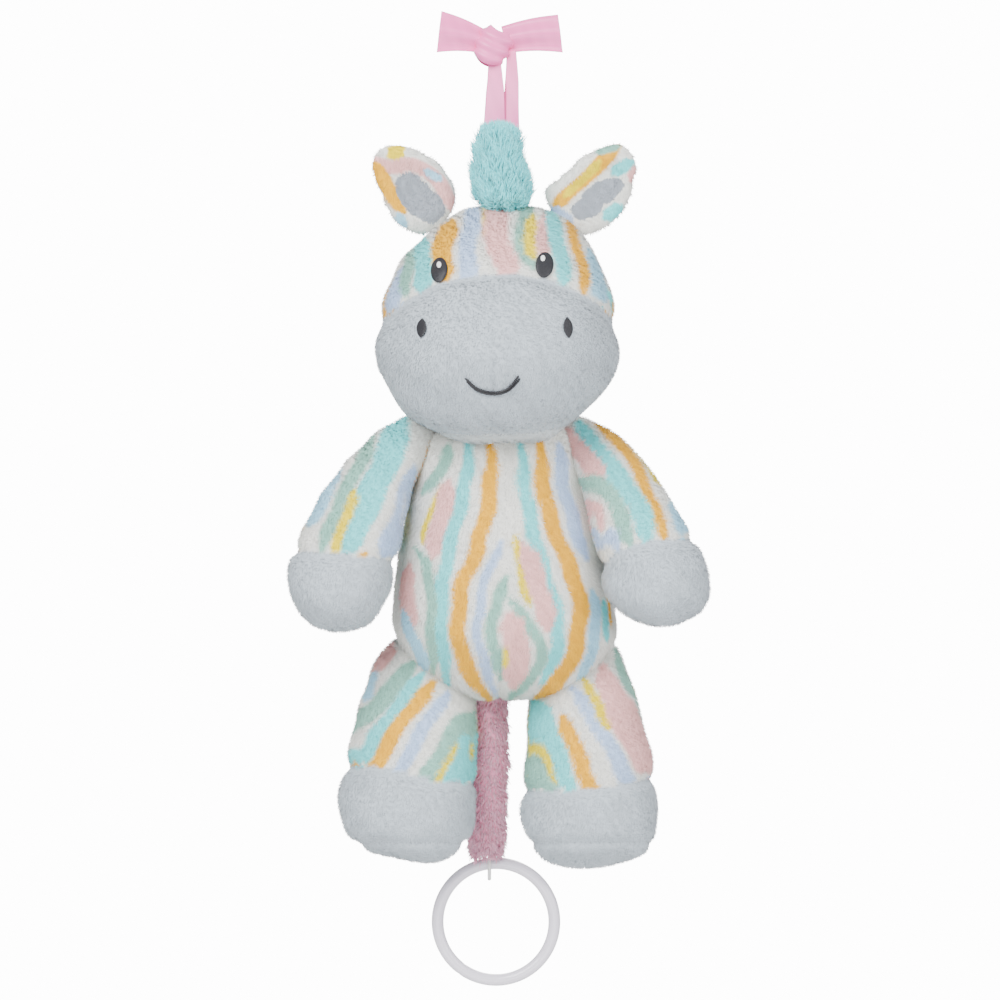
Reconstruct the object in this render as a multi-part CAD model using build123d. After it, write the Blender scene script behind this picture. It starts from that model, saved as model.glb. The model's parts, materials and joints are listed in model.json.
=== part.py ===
from build123d import *
import math
import os

# A plush unicorn crib toy that plays a tune when the ring under its tail is pulled.
# Millimetres, +Z up, the face looks along -Y, and the toy's own left is +X.
# The origin is under the knot of the hanging ribbon, in the plane of the ribbon's straps.

# ------------------------------------------------------------------ driving dimensions
SKIN = 2.0             # a plush panel, backing and pile together
STITCH = 0.6           # how far embroidery stands off the plush
SMILE_R = 12.6         # radius of the smile's arc
GAP = 0.8              # between soft bodies that move against each other
RUNNING = 0.05         # radial clearance of a turning shaft in its hole

CROWN_Z, MUZZLE_Z = -103.5, -123.0          # centres of the two ellipsoids of the head
CROWN_Y, MUZZLE_Y = -7.0, -34.0
CROWN_HALF_WIDTH, CROWN_RADIUS = 49.0, 45.0
CREST = [((0.5, -15.0, -50.0), 13.5), ((0.0, -14.5, -33.5), 10.5)]
MUZZLE_HALF_WIDTH, MUZZLE_RADIUS = 51.5, 37.0

TORSO_X, TORSO_Y = 1.0, 1.0
TORSO_DEPTH = 0.82                          # depth of the torso over its width
TORSO_TOP = -158.0
TORSO_PROFILE = [(0, 0), (12, -0.3), (22, -2), (30, -7), (36, -16), (42, -32), (46.5, -50), (49.3, -70),
                 (48.3, -82), (43, -93.5), (34, -101.5), (20, -107.8), (9, -110.2), (0, -110.8)]
NECK_Z, NECK_BALL_R = -148.0, 15.0

# each limb of the left side is a chain of balls, (centre, radius); the right side is its mirror image
ARM = [((36.0, -4.0, -162.0), 13.0), ((60.0, -20.0, -196.0), 19.5), ((66.0, -26.0, -217.5), 22.0)]
ARM_SEAM = (62.7, -22.7, -206.0)            # a point on the seam between the sleeve and the hoof
LEG = [((33.5, 9.0, -254.0), 22.0), ((36.0, -2.0, -284.0), 26.2), ((38.0, -9.0, -306.0), 28.5)]
LEG_SEAM = (37.0, -5.0, -298.0)
SOLE_Z = -329.0

EAR_CENTRE, EAR_HINGE = (38.5, -7.0, -51.0), (27.0, -7.0, -63.5)
EAR_HALF_LENGTH, EAR_HALF_WIDTH, EAR_THICKNESS = 23.0, 15.5, 10.0
EAR_LINING_HALF_LENGTH, EAR_LINING_HALF_WIDTH, EAR_LINING_DEPTH = 14.0, 8.5, 2.0
EAR_BULGE_R = 68.0                          # radius of the ear's front and back
EAR_TILT = 43.0                             # degrees from level to the ear's long axis

TAIL_X, TAIL_Y, TAIL_TOP, TAIL_END = -4.5, 13.0, -259.0, -332.6
TAIL_TOP_R, TAIL_R, TAIL_END_R, TAIL_BORE_R = 7.0, 8.6, 6.0, 3.0

CORD_R = 0.8
RING_R, RING_WIRE_R = 24.8, 2.45            # centre line and thickness of the pull ring
RING_X = -1.7
LOOP_X = -4.5                               # where the cord's loop holds the ring
RING_TOP_Z = -337.5                         # centre of the ring's wire where the loop holds it

CASE_W, CASE_D, CASE_H, CASE_WALL = 44.0, 25.0, 50.0, 1.5
CASE_Y, CASE_Z = 7.5, -207.0
DRUM_R = 7.0                                # radius at which the cord lies on its spool
MODULE = 0.5
SPOOL_TEETH, PINION_TEETH, WHEEL_TEETH, FLY_TEETH = 48, 12, 36, 6

# ------------------------------------------------------------------ derived places
SPOOL_X, SPOOL_Z = TAIL_X - DRUM_R, CASE_Z - 10.5
SPOOL_TO_BARREL = MODULE * (SPOOL_TEETH + PINION_TEETH) / 2
BARREL_TO_FLY = MODULE * (WHEEL_TEETH + FLY_TEETH) / 2 + 0.15
BARREL_Z = SPOOL_Z + SPOOL_TO_BARREL
FLY_Z = BARREL_Z + BARREL_TO_FLY
BARREL_R = 5.7
CORD_Y = TAIL_Y

BIG = 1200.0
nodes = {}


# ------------------------------------------------------------------ shapes
def turned(profile):
    """A solid of revolution about Z whose (radius, height) outline starts and ends on the axis."""
    outline = Spline(*profile)
    face = make_face(Plane.XZ * (Curve() + [outline, Line(outline @ 1, outline @ 0)]))
    return revolve(face, Axis.Z)


def thinner(profile, by):
    """The same outline, nearer the axis and shorter at both ends."""
    top, bottom = profile[0][1], profile[-1][1]
    middle, shrink = (top + bottom) / 2, 1 - 2 * by / (top - bottom)
    return [(max(radius - by, 0), middle + (height - middle) * shrink) for radius, height in profile]


def link(start, end, extra):
    """Two balls and the cone that touches both, grown by so much."""
    (root, root_r), (tip, tip_r) = start, end
    root_r, tip_r = root_r + extra, tip_r + extra
    length = (Vector(*tip) - Vector(*root)).length
    lean = math.asin((tip_r - root_r) / length)
    half = (math.pi / 2 + lean) / 2
    top, bottom = (0, root_r), (0, -length - tip_r)
    upper = (root_r * math.cos(lean), root_r * math.sin(lean))
    lower = (tip_r * math.cos(lean), -length + tip_r * math.sin(lean))
    over = (root_r * math.sin(math.pi / 4 - lean / 2), root_r * math.cos(math.pi / 4 - lean / 2))
    under = (tip_r * math.sin(half), -length - tip_r * math.cos(half))
    edges = [ThreePointArc(top, over, upper), Line(upper, lower), ThreePointArc(lower, under, bottom),
             Line(bottom, top)]
    body = revolve(make_face(Plane.XZ * (Curve() + edges)), Axis.Z)
    return Plane(origin=root, z_dir=Vector(*root) - Vector(*tip)) * body


def level_ellipsoid(half_width, radius):
    """An ellipsoid that is round about X."""
    upper_half = Ellipse(half_width, radius) & Pos(0, radius / 2) * Rectangle(2 * half_width, radius)
    return revolve(upper_half, Axis.X)


def half_space(origin, direction):
    """A large block on the far side of a plane."""
    plane = Plane(origin=origin, z_dir=direction)
    return plane * Pos(0, 0, BIG / 2) * Box(BIG, BIG, BIG)


def mirrored(point, side):
    """A point of the toy's left side, or its mirror image when side is -1."""
    return (point[0] * side, point[1], point[2])


def turned_about(shape, point, direction, degrees):
    """A shape after a hinge has turned by so many degrees."""
    return shape.rotate(Axis(point, direction), degrees)


def clear_of(shape, tools):
    """A shape with every tool cut out of it."""
    for tool in tools:
        shape = shape - tool
    return shape


def pin(radius, length, x, y, z):
    """A round bar along Y about the given centre."""
    return Pos(x, y, z) * Rot(90, 0, 0) * Cylinder(radius, length)


def gear(teeth, width, phase):
    """A spur wheel along Z with short, narrow teeth; phase is the first tooth's angle in degrees."""
    pitch_r = MODULE * teeth / 2
    root_r, tip_r, half = pitch_r - 0.5, pitch_r + 0.3, 0.24
    wheel = Cylinder(root_r, width)
    tooth = Polyline((root_r - 0.3, -half), (tip_r, -half * 0.6), (tip_r, half * 0.6),
                     (root_r - 0.3, half), close=True)
    blank = extrude(make_face(tooth), width / 2, both=True)
    for step in range(teeth):
        wheel += Rot(0, 0, phase + 360 * step / teeth) * blank
    return wheel


def largest(shape):
    """The biggest solid of a shape, without the crumbs that cuts leave."""
    return max(shape.solids(), key=lambda solid: solid.volume)


def column_to_front(face, x, z):
    """A face drawn in X and Z, extruded through the front of the head."""
    return Pos(x, -20, z) * Rot(90, 0, 0) * extrude(face, 70)


# ------------------------------------------------------------------ limbs
def chain(balls, side, extra=0.0):
    """A limb's outline on one side of the toy, grown by so much."""
    placed = [(mirrored(centre, side), radius) for centre, radius in balls]
    return link(placed[0], placed[1], extra) + link(placed[1], placed[2], extra)


def beyond_seam(balls, seam, side):
    """The block on the hoof's side of a limb's seam."""
    (start, _), (end, _) = balls[1:]
    ahead = Vector(*mirrored(end, side)) - Vector(*mirrored(start, side))
    return half_space(mirrored(seam, side), ahead)


def arms():
    """Both arms, and the room they need in the torso."""
    rooms = []
    for name, side in (("left", 1), ("right", -1)):
        filling = chain(ARM, side, -SKIN)
        cover, hoof_side = chain(ARM, side) - filling, beyond_seam(ARM, ARM_SEAM, side)
        nodes[f"arm_{name}_sleeve"] = cover - hoof_side
        nodes[f"arm_{name}_hoof"] = cover & hoof_side
        nodes[f"arm_{name}_stuffing"] = filling
        shoulder, radius = ARM[0]
        rooms += [Pos(*mirrored(shoulder, side)) * Sphere(radius + GAP), chain(ARM, side, GAP)]
    return rooms


def legs():
    """Both legs, and the room they sweep in the torso."""
    rooms = []
    under = half_space((0, 0, SOLE_Z), (0, 0, -1))
    for name, side in (("left", 1), ("right", -1)):
        filling = chain(LEG, side, -SKIN)
        cover, hoof_side = chain(LEG, side) - filling, beyond_seam(LEG, LEG_SEAM, side)
        nodes[f"leg_{name}_sleeve"] = cover - hoof_side
        nodes[f"leg_{name}_hoof"] = (cover & hoof_side) - under
        nodes[f"leg_{name}_sole"] = cover & under
        nodes[f"leg_{name}_stuffing"] = filling
        hip = mirrored(LEG[0][0], side)
        rooms += [turned_about(chain(LEG, side, GAP), hip, (-1, 0, 0), swing) for swing in (-8, 5, 20)]
    return rooms


# ------------------------------------------------------------------ torso and tail
def neck_ball(radius):
    """The filled neck, which turns inside the head."""
    return Pos(TORSO_X, TORSO_Y, NECK_Z) * Sphere(radius)


def pear(profile):
    """The torso's outline at its place."""
    return Pos(TORSO_X, TORSO_Y, TORSO_TOP) * scale(turned(profile), by=(1, TORSO_DEPTH, 1))


def tail():
    """The fur tube round the cord, and the room it needs."""
    place = Pos(TAIL_X, TAIL_Y, 0)
    top = place * Pos(0, 0, TAIL_TOP) * Sphere(TAIL_TOP_R)
    stem = place * Pos(0, 0, TAIL_TOP - 30) * Cone(TAIL_R, TAIL_TOP_R, 60)
    end = place * Pos(0, 0, TAIL_TOP - 60) * Cone(TAIL_END_R, TAIL_R, TAIL_TOP - 60 - TAIL_END,
                                                 align=(Align.CENTER, Align.CENTER, Align.MAX))
    bore = place * Pos(0, 0, TAIL_TOP - 40) * Cylinder(TAIL_BORE_R, 120)
    nodes["tail_tube"] = top + stem + end - bore
    socket = place * Pos(0, 0, TAIL_TOP) * Sphere(TAIL_TOP_R + GAP)
    mouth = place * Pos(0, 0, TAIL_TOP - 10) * Cone(TAIL_TOP_R + GAP + 10, TAIL_TOP_R + GAP, 20)
    return [socket + mouth]


def torso(rooms):
    """Four sewn panels round the filling, with room for every limb and for the music case."""
    outer, inner = pear(TORSO_PROFILE), pear(thinner(TORSO_PROFILE, SKIN))
    outer, inner = outer + neck_ball(NECK_BALL_R), inner + neck_ball(NECK_BALL_R - SKIN)
    outer, inner = clear_of(outer, rooms), clear_of(inner, rooms)
    cover = (outer - inner) - Pos(TAIL_X, CORD_Y, -250) * Cylinder(2.2, 100)
    front, left = half_space((0, TORSO_Y, 0), (0, -1, 0)), half_space((TORSO_X, 0, 0), (1, 0, 0))
    nodes["torso_front_left"] = largest((cover & front) & left)
    nodes["torso_front_right"] = largest((cover & front) - left)
    nodes["torso_back_left"] = largest((cover - front) & left)
    nodes["torso_back_right"] = largest((cover - front) - left)
    case_room = Pos(TAIL_X, CASE_Y, CASE_Z) * Box(CASE_W, CASE_D, CASE_H)
    nodes["torso_stuffing"] = inner - case_room - Pos(TAIL_X, CORD_Y, -250) * Cylinder(3.8, 100)


# ------------------------------------------------------------------ head
def crown(extra=0.0):
    """The upper ellipsoid of the head, grown by so much."""
    return Pos(0, CROWN_Y, CROWN_Z) * level_ellipsoid(CROWN_HALF_WIDTH + extra, CROWN_RADIUS + extra)


def muzzle(extra=0.0):
    """The lower, forward ellipsoid of the head, grown by so much."""
    return Pos(0, MUZZLE_Y, MUZZLE_Z) * level_ellipsoid(MUZZLE_HALF_WIDTH + extra, MUZZLE_RADIUS + extra)


def head():
    """Printed crown, grey muzzle with its chin gusset, the crest and the filling."""
    socket = neck_ball(NECK_BALL_R + GAP)
    filling = crown(-SKIN) + muzzle(-SKIN)
    muzzle_skin = muzzle() - filling - socket
    crown_skin = crown() - filling - muzzle() - socket
    chin = half_space((0, -51, -156), (0, 1, -2))
    front, left = half_space((0, CROWN_Y + 6, 0), (0, -1, 0)), half_space((0, 0, 0), (1, 0, 0))
    nodes["chin_gusset"] = muzzle_skin & chin
    nodes["muzzle_cover"] = muzzle_skin - chin
    nodes["head_forehead"] = crown_skin & front
    nodes["head_back_left"] = (crown_skin - front) & left
    nodes["head_back_right"] = (crown_skin - front) - left
    nodes["head_stuffing"] = filling - socket
    nodes["mane_crest"] = link(CREST[0], CREST[1], 0) - crown()


def face():
    """Embroidered eyes, nostrils and smile, each a thin raised patch."""
    over_crown, over_muzzle = crown(STITCH) - crown(), muzzle(STITCH) - muzzle()
    over_crown = over_crown - muzzle(STITCH)
    glints = []
    for name, x, z, rx in (("right", -25.6, -86.2, 3.6), ("left", 18.7, -84.4, 4.0)):
        column = column_to_front(Ellipse(rx, 5.2), x, z)
        spark = column_to_front(Ellipse(1.1, 1.3), x, z + 2.4)
        nodes[f"eye_{name}"] = (over_crown & column) - spark
        glints.append(over_crown & spark)
    nodes["eye_glints"] = Compound(children=glints)
    for name, x in (("right", -33.0), ("left", 28.5)):
        nodes[f"nostril_{name}"] = over_muzzle & column_to_front(Ellipse(2.2, 4.4), x, -110.8)
    ring = Circle(SMILE_R + 0.6) - Circle(SMILE_R - 0.6)
    smile = ring & Pos(0, -SMILE_R) * Rectangle(3 * SMILE_R, 1.1 * SMILE_R)
    nodes["mouth_stitching"] = over_muzzle & column_to_front(smile, -3.3, -138.6 + SMILE_R)


def ears():
    """Both ears: a printed outer and a grey lining let into its front."""
    for name, side in (("left", 1), ("right", -1)):
        hinge, base = mirrored(EAR_HINGE, side), Vector(side, 0, -1).normalized()
        place = Pos(*mirrored(EAR_CENTRE, side)) * Rot(0, -side * EAR_TILT, 0)
        disc = Rot(90, 0, 0) * extrude(Ellipse(EAR_HALF_LENGTH, EAR_HALF_WIDTH), EAR_THICKNESS, both=True)
        offset_y = EAR_BULGE_R - EAR_THICKNESS / 2
        front_bulge = Pos(0, offset_y, 0) * Sphere(EAR_BULGE_R)
        back_bulge = Pos(0, -offset_y, 0) * Sphere(EAR_BULGE_R)
        leaf = place * ((disc & front_bulge) & back_bulge)
        patch = extrude(Ellipse(EAR_LINING_HALF_LENGTH, EAR_LINING_HALF_WIDTH), EAR_THICKNESS)
        lining = place * Pos(-2 * side, EAR_LINING_DEPTH - EAR_THICKNESS / 2, -1.0) * Rot(90, 0, 0) * patch
        rooms = [turned_about(crown(GAP), hinge, base, flop) for flop in (-25, -12, 0, 12, 25)]
        nodes[f"ear_{name}_outer"] = clear_of(leaf - lining, rooms)
        nodes[f"ear_{name}_lining"] = clear_of(leaf & lining, rooms)


# ------------------------------------------------------------------ hanging ribbon
def ribbon():
    """Two satin straps from the crown's seam up to one knot, and their free ends."""
    knot = Pos(-3.0, 0, 7.3) * fillet(Box(14.6, 10.0, 16.4).edges(), 4.4)
    seat = crown()
    ends = {
        "right": [(-23, 22.3), (-27.7, 11), (-25, 5.9), (-6, 4.6), (-6, 13.8)],
        "left": [(0, 15.5), (22.7, 21), (26.9, 17.2), (26.9, 5), (17.6, 5), (0, 8)],
    }
    straps = {"right": (-2.0, 5.0), "left": (5.0, 4.6)}
    for name, outline in ends.items():
        x, width = straps[name]
        strap = Pos(x, 0, -28) * Box(width, 1.0, 66) - seat - knot
        end = Pos(0, 0.5, 0) * extrude(Plane.XZ * make_face(Polyline(*outline, close=True)), 1.0) - knot
        nodes[f"hanging_ribbon_{name}"] = Compound(children=[strap, end])
    nodes["ribbon_knot"] = knot


# ------------------------------------------------------------------ music movement
def music_case():
    """The moulded tray and cover, their screws and the cord's bush."""
    inside = Box(CASE_W - 2 * CASE_WALL, CASE_D - 2 * CASE_WALL, CASE_H - 2 * CASE_WALL)
    shell = Box(CASE_W, CASE_D, CASE_H) - inside
    place = Pos(TAIL_X, CASE_Y, CASE_Z)
    split_y = -CASE_D / 2 + 5
    cover_side = half_space((0, split_y, 0), (0, -1, 0))
    cover, tray = shell & cover_side, shell - cover_side
    screws = []
    for x in (-CASE_W / 2 + 4, CASE_W / 2 - 4):
        for z in (-CASE_H / 2 + 4, CASE_H / 2 - 4):
            post = Pos(x, 0, z) * Rot(90, 0, 0) * Cylinder(2.4, CASE_D - 2 * CASE_WALL + 0.2)
            screw = Pos(x, -CASE_D / 2, z) * Rot(90, 0, 0) * Pos(0, 0, -5) * Cylinder(0.9, 10)
            screw += Pos(x, -CASE_D / 2 + 0.5, z) * Rot(90, 0, 0) * Cylinder(1.7, 1.0)
            tray += (post - cover_side) - screw
            cover = (cover + (post & cover_side)) - screw
            tray = tray - screw
            screws.append(place * screw)
    bush_y = CORD_Y - CASE_Y
    hole = Pos(0, bush_y, -CASE_H / 2) * Cylinder(2.2, 6)
    bush = Pos(0, bush_y, -CASE_H / 2 + 0.2) * (Cylinder(2.2, 3.4) + Pos(0, 0, -2.1) * Cylinder(3.4, 0.8))
    nodes["cord_bush"] = place * (bush - Cylinder(1.5, BIG).moved(Pos(0, bush_y, 0)))
    nodes["case_tray"] = place * (tray - hole)
    nodes["case_cover"] = place * cover
    nodes["case_screws"] = Compound(children=screws)


def movement():
    """Spring spool, pinned barrel, comb and air governor between two plates."""
    back_y, front_y = CASE_Y + 9.9, CASE_Y - 10.2
    plates = []
    spindles = {
        "spool_axle": (SPOOL_X, SPOOL_Z),
        "barrel_axle": (SPOOL_X, BARREL_Z),
        "fly_axle": (SPOOL_X, FLY_Z),
    }
    for y in (back_y, front_y):
        plate = Pos(SPOOL_X + 5, y, CASE_Z) * Box(26, 0.8, 44)
        for x, z in spindles.values():
            plate = plate - pin(0.8, 4, x, y, z)
        plates.append(plate)
    bed = Pos(SPOOL_X + 16, CASE_Y, BARREL_Z - 3.4) * Box(4, 18.9, 5.0)
    nodes["bedplates"] = Compound(children=plates)
    for y in (CASE_Y - 4, CASE_Y + 4):
        bed = bed - Pos(SPOOL_X + 16, y, BARREL_Z - 1) * Cylinder(0.7, 6)
    nodes["comb_bed"] = bed
    for name, (x, z) in spindles.items():
        nodes[name] = pin(0.8, 20.9, x, CASE_Y - 0.15, z)

    comb = Pos(SPOOL_X + 12.2, CASE_Y, BARREL_Z - 0.4) * Box(11.6, 14, 0.8)
    for slot in range(1, 18):
        comb = comb - Pos(SPOOL_X + 9.5, CASE_Y - 7 + slot * 14 / 18, BARREL_Z - 0.4) * Box(7.4, 0.2, 2)
    comb_screws = []
    for y in (CASE_Y - 4, CASE_Y + 4):
        comb = comb - Pos(SPOOL_X + 16, y, BARREL_Z) * Cylinder(0.7, 4)
        shank = Pos(SPOOL_X + 16, y, BARREL_Z - 2) * Cylinder(0.7, 4)
        screw = shank + Pos(SPOOL_X + 16, y, BARREL_Z + 0.4) * Cylinder(1.4, 0.8)
        comb_screws.append(screw)
    nodes["comb"] = comb
    nodes["comb_screws"] = Compound(children=comb_screws)

    bore = 0.8 + RUNNING
    upright = Rot(90, 0, 0)
    gear_y, wheel_y = CASE_Y + 8.4, CASE_Y - 9.0
    spool = Pos(SPOOL_X, gear_y, SPOOL_Z) * upright * gear(SPOOL_TEETH, 1.6, 0)
    spool += pin(DRUM_R - CORD_R, 6.6, SPOOL_X, CASE_Y + 4.4, SPOOL_Z)
    spool += pin(8.9, 0.8, SPOOL_X, CASE_Y + 1.2, SPOOL_Z)
    nodes["cord_spool"] = spool - pin(bore, 40, SPOOL_X, CASE_Y, SPOOL_Z)
    spring = pin(8.5, 5.6, SPOOL_X, CASE_Y - 4.2, SPOOL_Z) - pin(3.0, 8, SPOOL_X, CASE_Y - 4.2, SPOOL_Z)
    nodes["mainspring"] = spring

    barrel = pin(BARREL_R, 13.6, SPOOL_X, CASE_Y + 0.2, BARREL_Z)
    barrel += Pos(SPOOL_X, gear_y, BARREL_Z) * upright * gear(PINION_TEETH, 1.6, 15)
    barrel += Pos(SPOOL_X, wheel_y, BARREL_Z) * upright * gear(WHEEL_TEETH, 1.0, 0)
    barrel += pin(2.2, 17.6, SPOOL_X, CASE_Y - 0.1, BARREL_Z)
    nodes["tune_barrel"] = barrel - pin(bore, 40, SPOOL_X, CASE_Y, BARREL_Z)

    fly = Pos(SPOOL_X, wheel_y, FLY_Z) * upright * gear(FLY_TEETH, 1.0, 0)
    fly += Pos(SPOOL_X, CASE_Y, FLY_Z) * Box(8.0, 11, 0.6) + pin(1.3, 18, SPOOL_X, CASE_Y - 0.2, FLY_Z)
    nodes["governor_fly"] = fly - pin(bore, 40, SPOOL_X, CASE_Y, FLY_Z)


# ------------------------------------------------------------------ pull cord and ring
def pull():
    """The cord from the spool down through the tail, its loop, and the ring that hangs in it."""
    ring_drop = math.sqrt(RING_R ** 2 - (LOOP_X - RING_X) ** 2)
    centre_z = RING_TOP_Z - ring_drop
    loop_r = RING_WIRE_R + CORD_R + 0.3
    top_z = RING_TOP_Z + loop_r
    length = SPOOL_Z - top_z
    line = Pos(TAIL_X, CORD_Y, (SPOOL_Z + top_z) / 2) * Cylinder(CORD_R, length)
    loop = Pos(LOOP_X, CORD_Y, RING_TOP_Z) * Rot(0, 90, 0) * Torus(loop_r, CORD_R)
    nodes["pull_cord"] = line + loop
    nodes["pull_ring"] = Pos(RING_X, CORD_Y, centre_z) * Rot(90, 0, 0) * Torus(RING_R, RING_WIRE_R)


def main():
    """Build every sub-part and write it to its own file."""
    rooms = arms() + legs() + tail()
    torso(rooms)
    head()
    face()
    ears()
    ribbon()
    music_case()
    movement()
    pull()
    os.makedirs("parts", exist_ok=True)
    for name, shape in nodes.items():
        export_step(shape, f"parts/{name}.step")


main()
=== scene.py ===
"""Looks of a hanging plush unicorn: sewn plush parts, trims, movement finishes, light and camera."""
from __future__ import annotations

import json
import logging
import math
from dataclasses import dataclass
from enum import Enum
from typing import Callable

import bpy
import numpy as np
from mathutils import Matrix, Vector
from mathutils.bvhtree import BVHTree

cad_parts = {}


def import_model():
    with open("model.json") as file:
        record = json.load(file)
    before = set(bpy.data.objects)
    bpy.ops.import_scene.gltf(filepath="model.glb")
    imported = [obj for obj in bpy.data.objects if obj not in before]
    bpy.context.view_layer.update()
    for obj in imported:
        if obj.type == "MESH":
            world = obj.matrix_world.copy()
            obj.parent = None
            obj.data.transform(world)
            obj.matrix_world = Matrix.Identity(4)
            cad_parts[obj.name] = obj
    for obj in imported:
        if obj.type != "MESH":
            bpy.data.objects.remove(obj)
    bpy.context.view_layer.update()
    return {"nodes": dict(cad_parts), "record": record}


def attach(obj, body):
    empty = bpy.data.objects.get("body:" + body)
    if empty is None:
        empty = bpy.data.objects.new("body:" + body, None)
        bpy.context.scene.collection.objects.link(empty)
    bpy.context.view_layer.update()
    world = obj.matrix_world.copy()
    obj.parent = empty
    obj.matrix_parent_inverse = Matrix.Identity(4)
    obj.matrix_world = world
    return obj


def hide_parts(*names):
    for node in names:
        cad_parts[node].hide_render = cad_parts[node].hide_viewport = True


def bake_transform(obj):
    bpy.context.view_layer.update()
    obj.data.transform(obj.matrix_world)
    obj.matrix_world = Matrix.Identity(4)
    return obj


LOG = logging.getLogger("unicorn")
MM = 0.001
UP = np.array((0.0, 0.0, 1.0))
# Print, seams and embroidery are sighted from this place in front of the toy.
EYE_DISTANCE, EYE_HEIGHT = 1166.7, -183.1
CLOTH_THICK, FILL_GAP = 1.1, 2.6
LEVEL = tuple[float, float, float, float, float]
MASK = Callable[[np.ndarray], np.ndarray]


class Dye(Enum):
    """Dyed colours of the plush, the ribbon and the threads, as display red, green and blue; the ear lining's
    grey also holds painted shade.
    """

    WHITE = (242, 242, 238)
    ORANGE = (246, 184, 78)
    YELLOW = (238, 212, 118)
    AQUA = (158, 216, 218)
    SAGE = (160, 190, 180)
    PINK = (240, 200, 198)
    PERIWINKLE = (198, 212, 234)
    LIGHT_BLUE = (190, 220, 236)
    GREY = (196, 202, 207)
    PALE_GREY = (214, 218, 220)
    # Grey of the ear lining: grey cloth made darker than GREY by painted shade of the ear's hollow.
    LINING = (158, 162, 168)
    TEAL = (168, 230, 236)
    ROSE = (250, 212, 222)
    DUSTY = (238, 188, 204)
    FILL = (236, 236, 232)
    SATIN_PINK = (232, 158, 190)

    def linear(self) -> np.ndarray:
        """The colour in linear light, a little stronger, as bright light washes it out."""
        light = ((np.array(self.value) / 255 + 0.055) / 1.055) ** 2.4
        return np.clip(light.mean() + 1.75 * (light - light.mean()), 0.01, 0.95)


@dataclass(frozen=True)
class Stripe:
    """One printed stripe: its dye, its width and its middle line.

    The line is in x and z of the toy's middle plane, as it is sighted from the eye in front.
    """

    dye: Dye
    width: float
    path: tuple[tuple[float, float], ...]


HEAD_STRIPES = (
    Stripe(Dye.ORANGE, 6.5, ((-48.5, -108.5), (-46, -99), (-42, -92.5))),
    Stripe(Dye.PERIWINKLE, 6, ((-43.5, -104), (-42.5, -94), (-40, -85.5))),
    Stripe(Dye.SAGE, 4.5, ((-38.5, -97), (-38.5, -88.5), (-37, -77.5))),
    Stripe(Dye.YELLOW, 2, ((-34, -88.5), (-34, -74))),
    Stripe(Dye.AQUA, 6.5, ((-31.5, -96), (-32, -85.5), (-32, -72))),
    Stripe(Dye.ORANGE, 8, ((-22.5, -90.5), (-25, -80), (-20, -66.5))),
    Stripe(Dye.PERIWINKLE, 7, ((-13.5, -93), (-13.5, -78), (-11, -59))),
    Stripe(Dye.YELLOW, 3, ((-6, -72), (-6.5, -61.5))),
    Stripe(Dye.PINK, 10, ((5, -89), (0, -78), (-2.5, -67.5), (-1, -59))),
    Stripe(Dye.SAGE, 6, ((13, -85), (8, -72), (12, -57.5))),
    Stripe(Dye.YELLOW, 5, ((14, -81), (12, -72), (13.5, -64))),
    Stripe(Dye.PINK, 5.5, ((19, -80.5), (18, -72), (18.5, -64))),
    Stripe(Dye.AQUA, 6, ((27, -93), (25, -76.5), (20, -62))),
    Stripe(Dye.ORANGE, 4, ((35.5, -96.5), (34, -83), (27.5, -62))),
    Stripe(Dye.LIGHT_BLUE, 6, ((40.5, -99), (41, -90.5), (38, -78))),
    Stripe(Dye.AQUA, 4, ((46, -104), (44.5, -95))),
    Stripe(Dye.ORANGE, 3.5, ((50, -111.5), (47, -99))),
)

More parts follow.
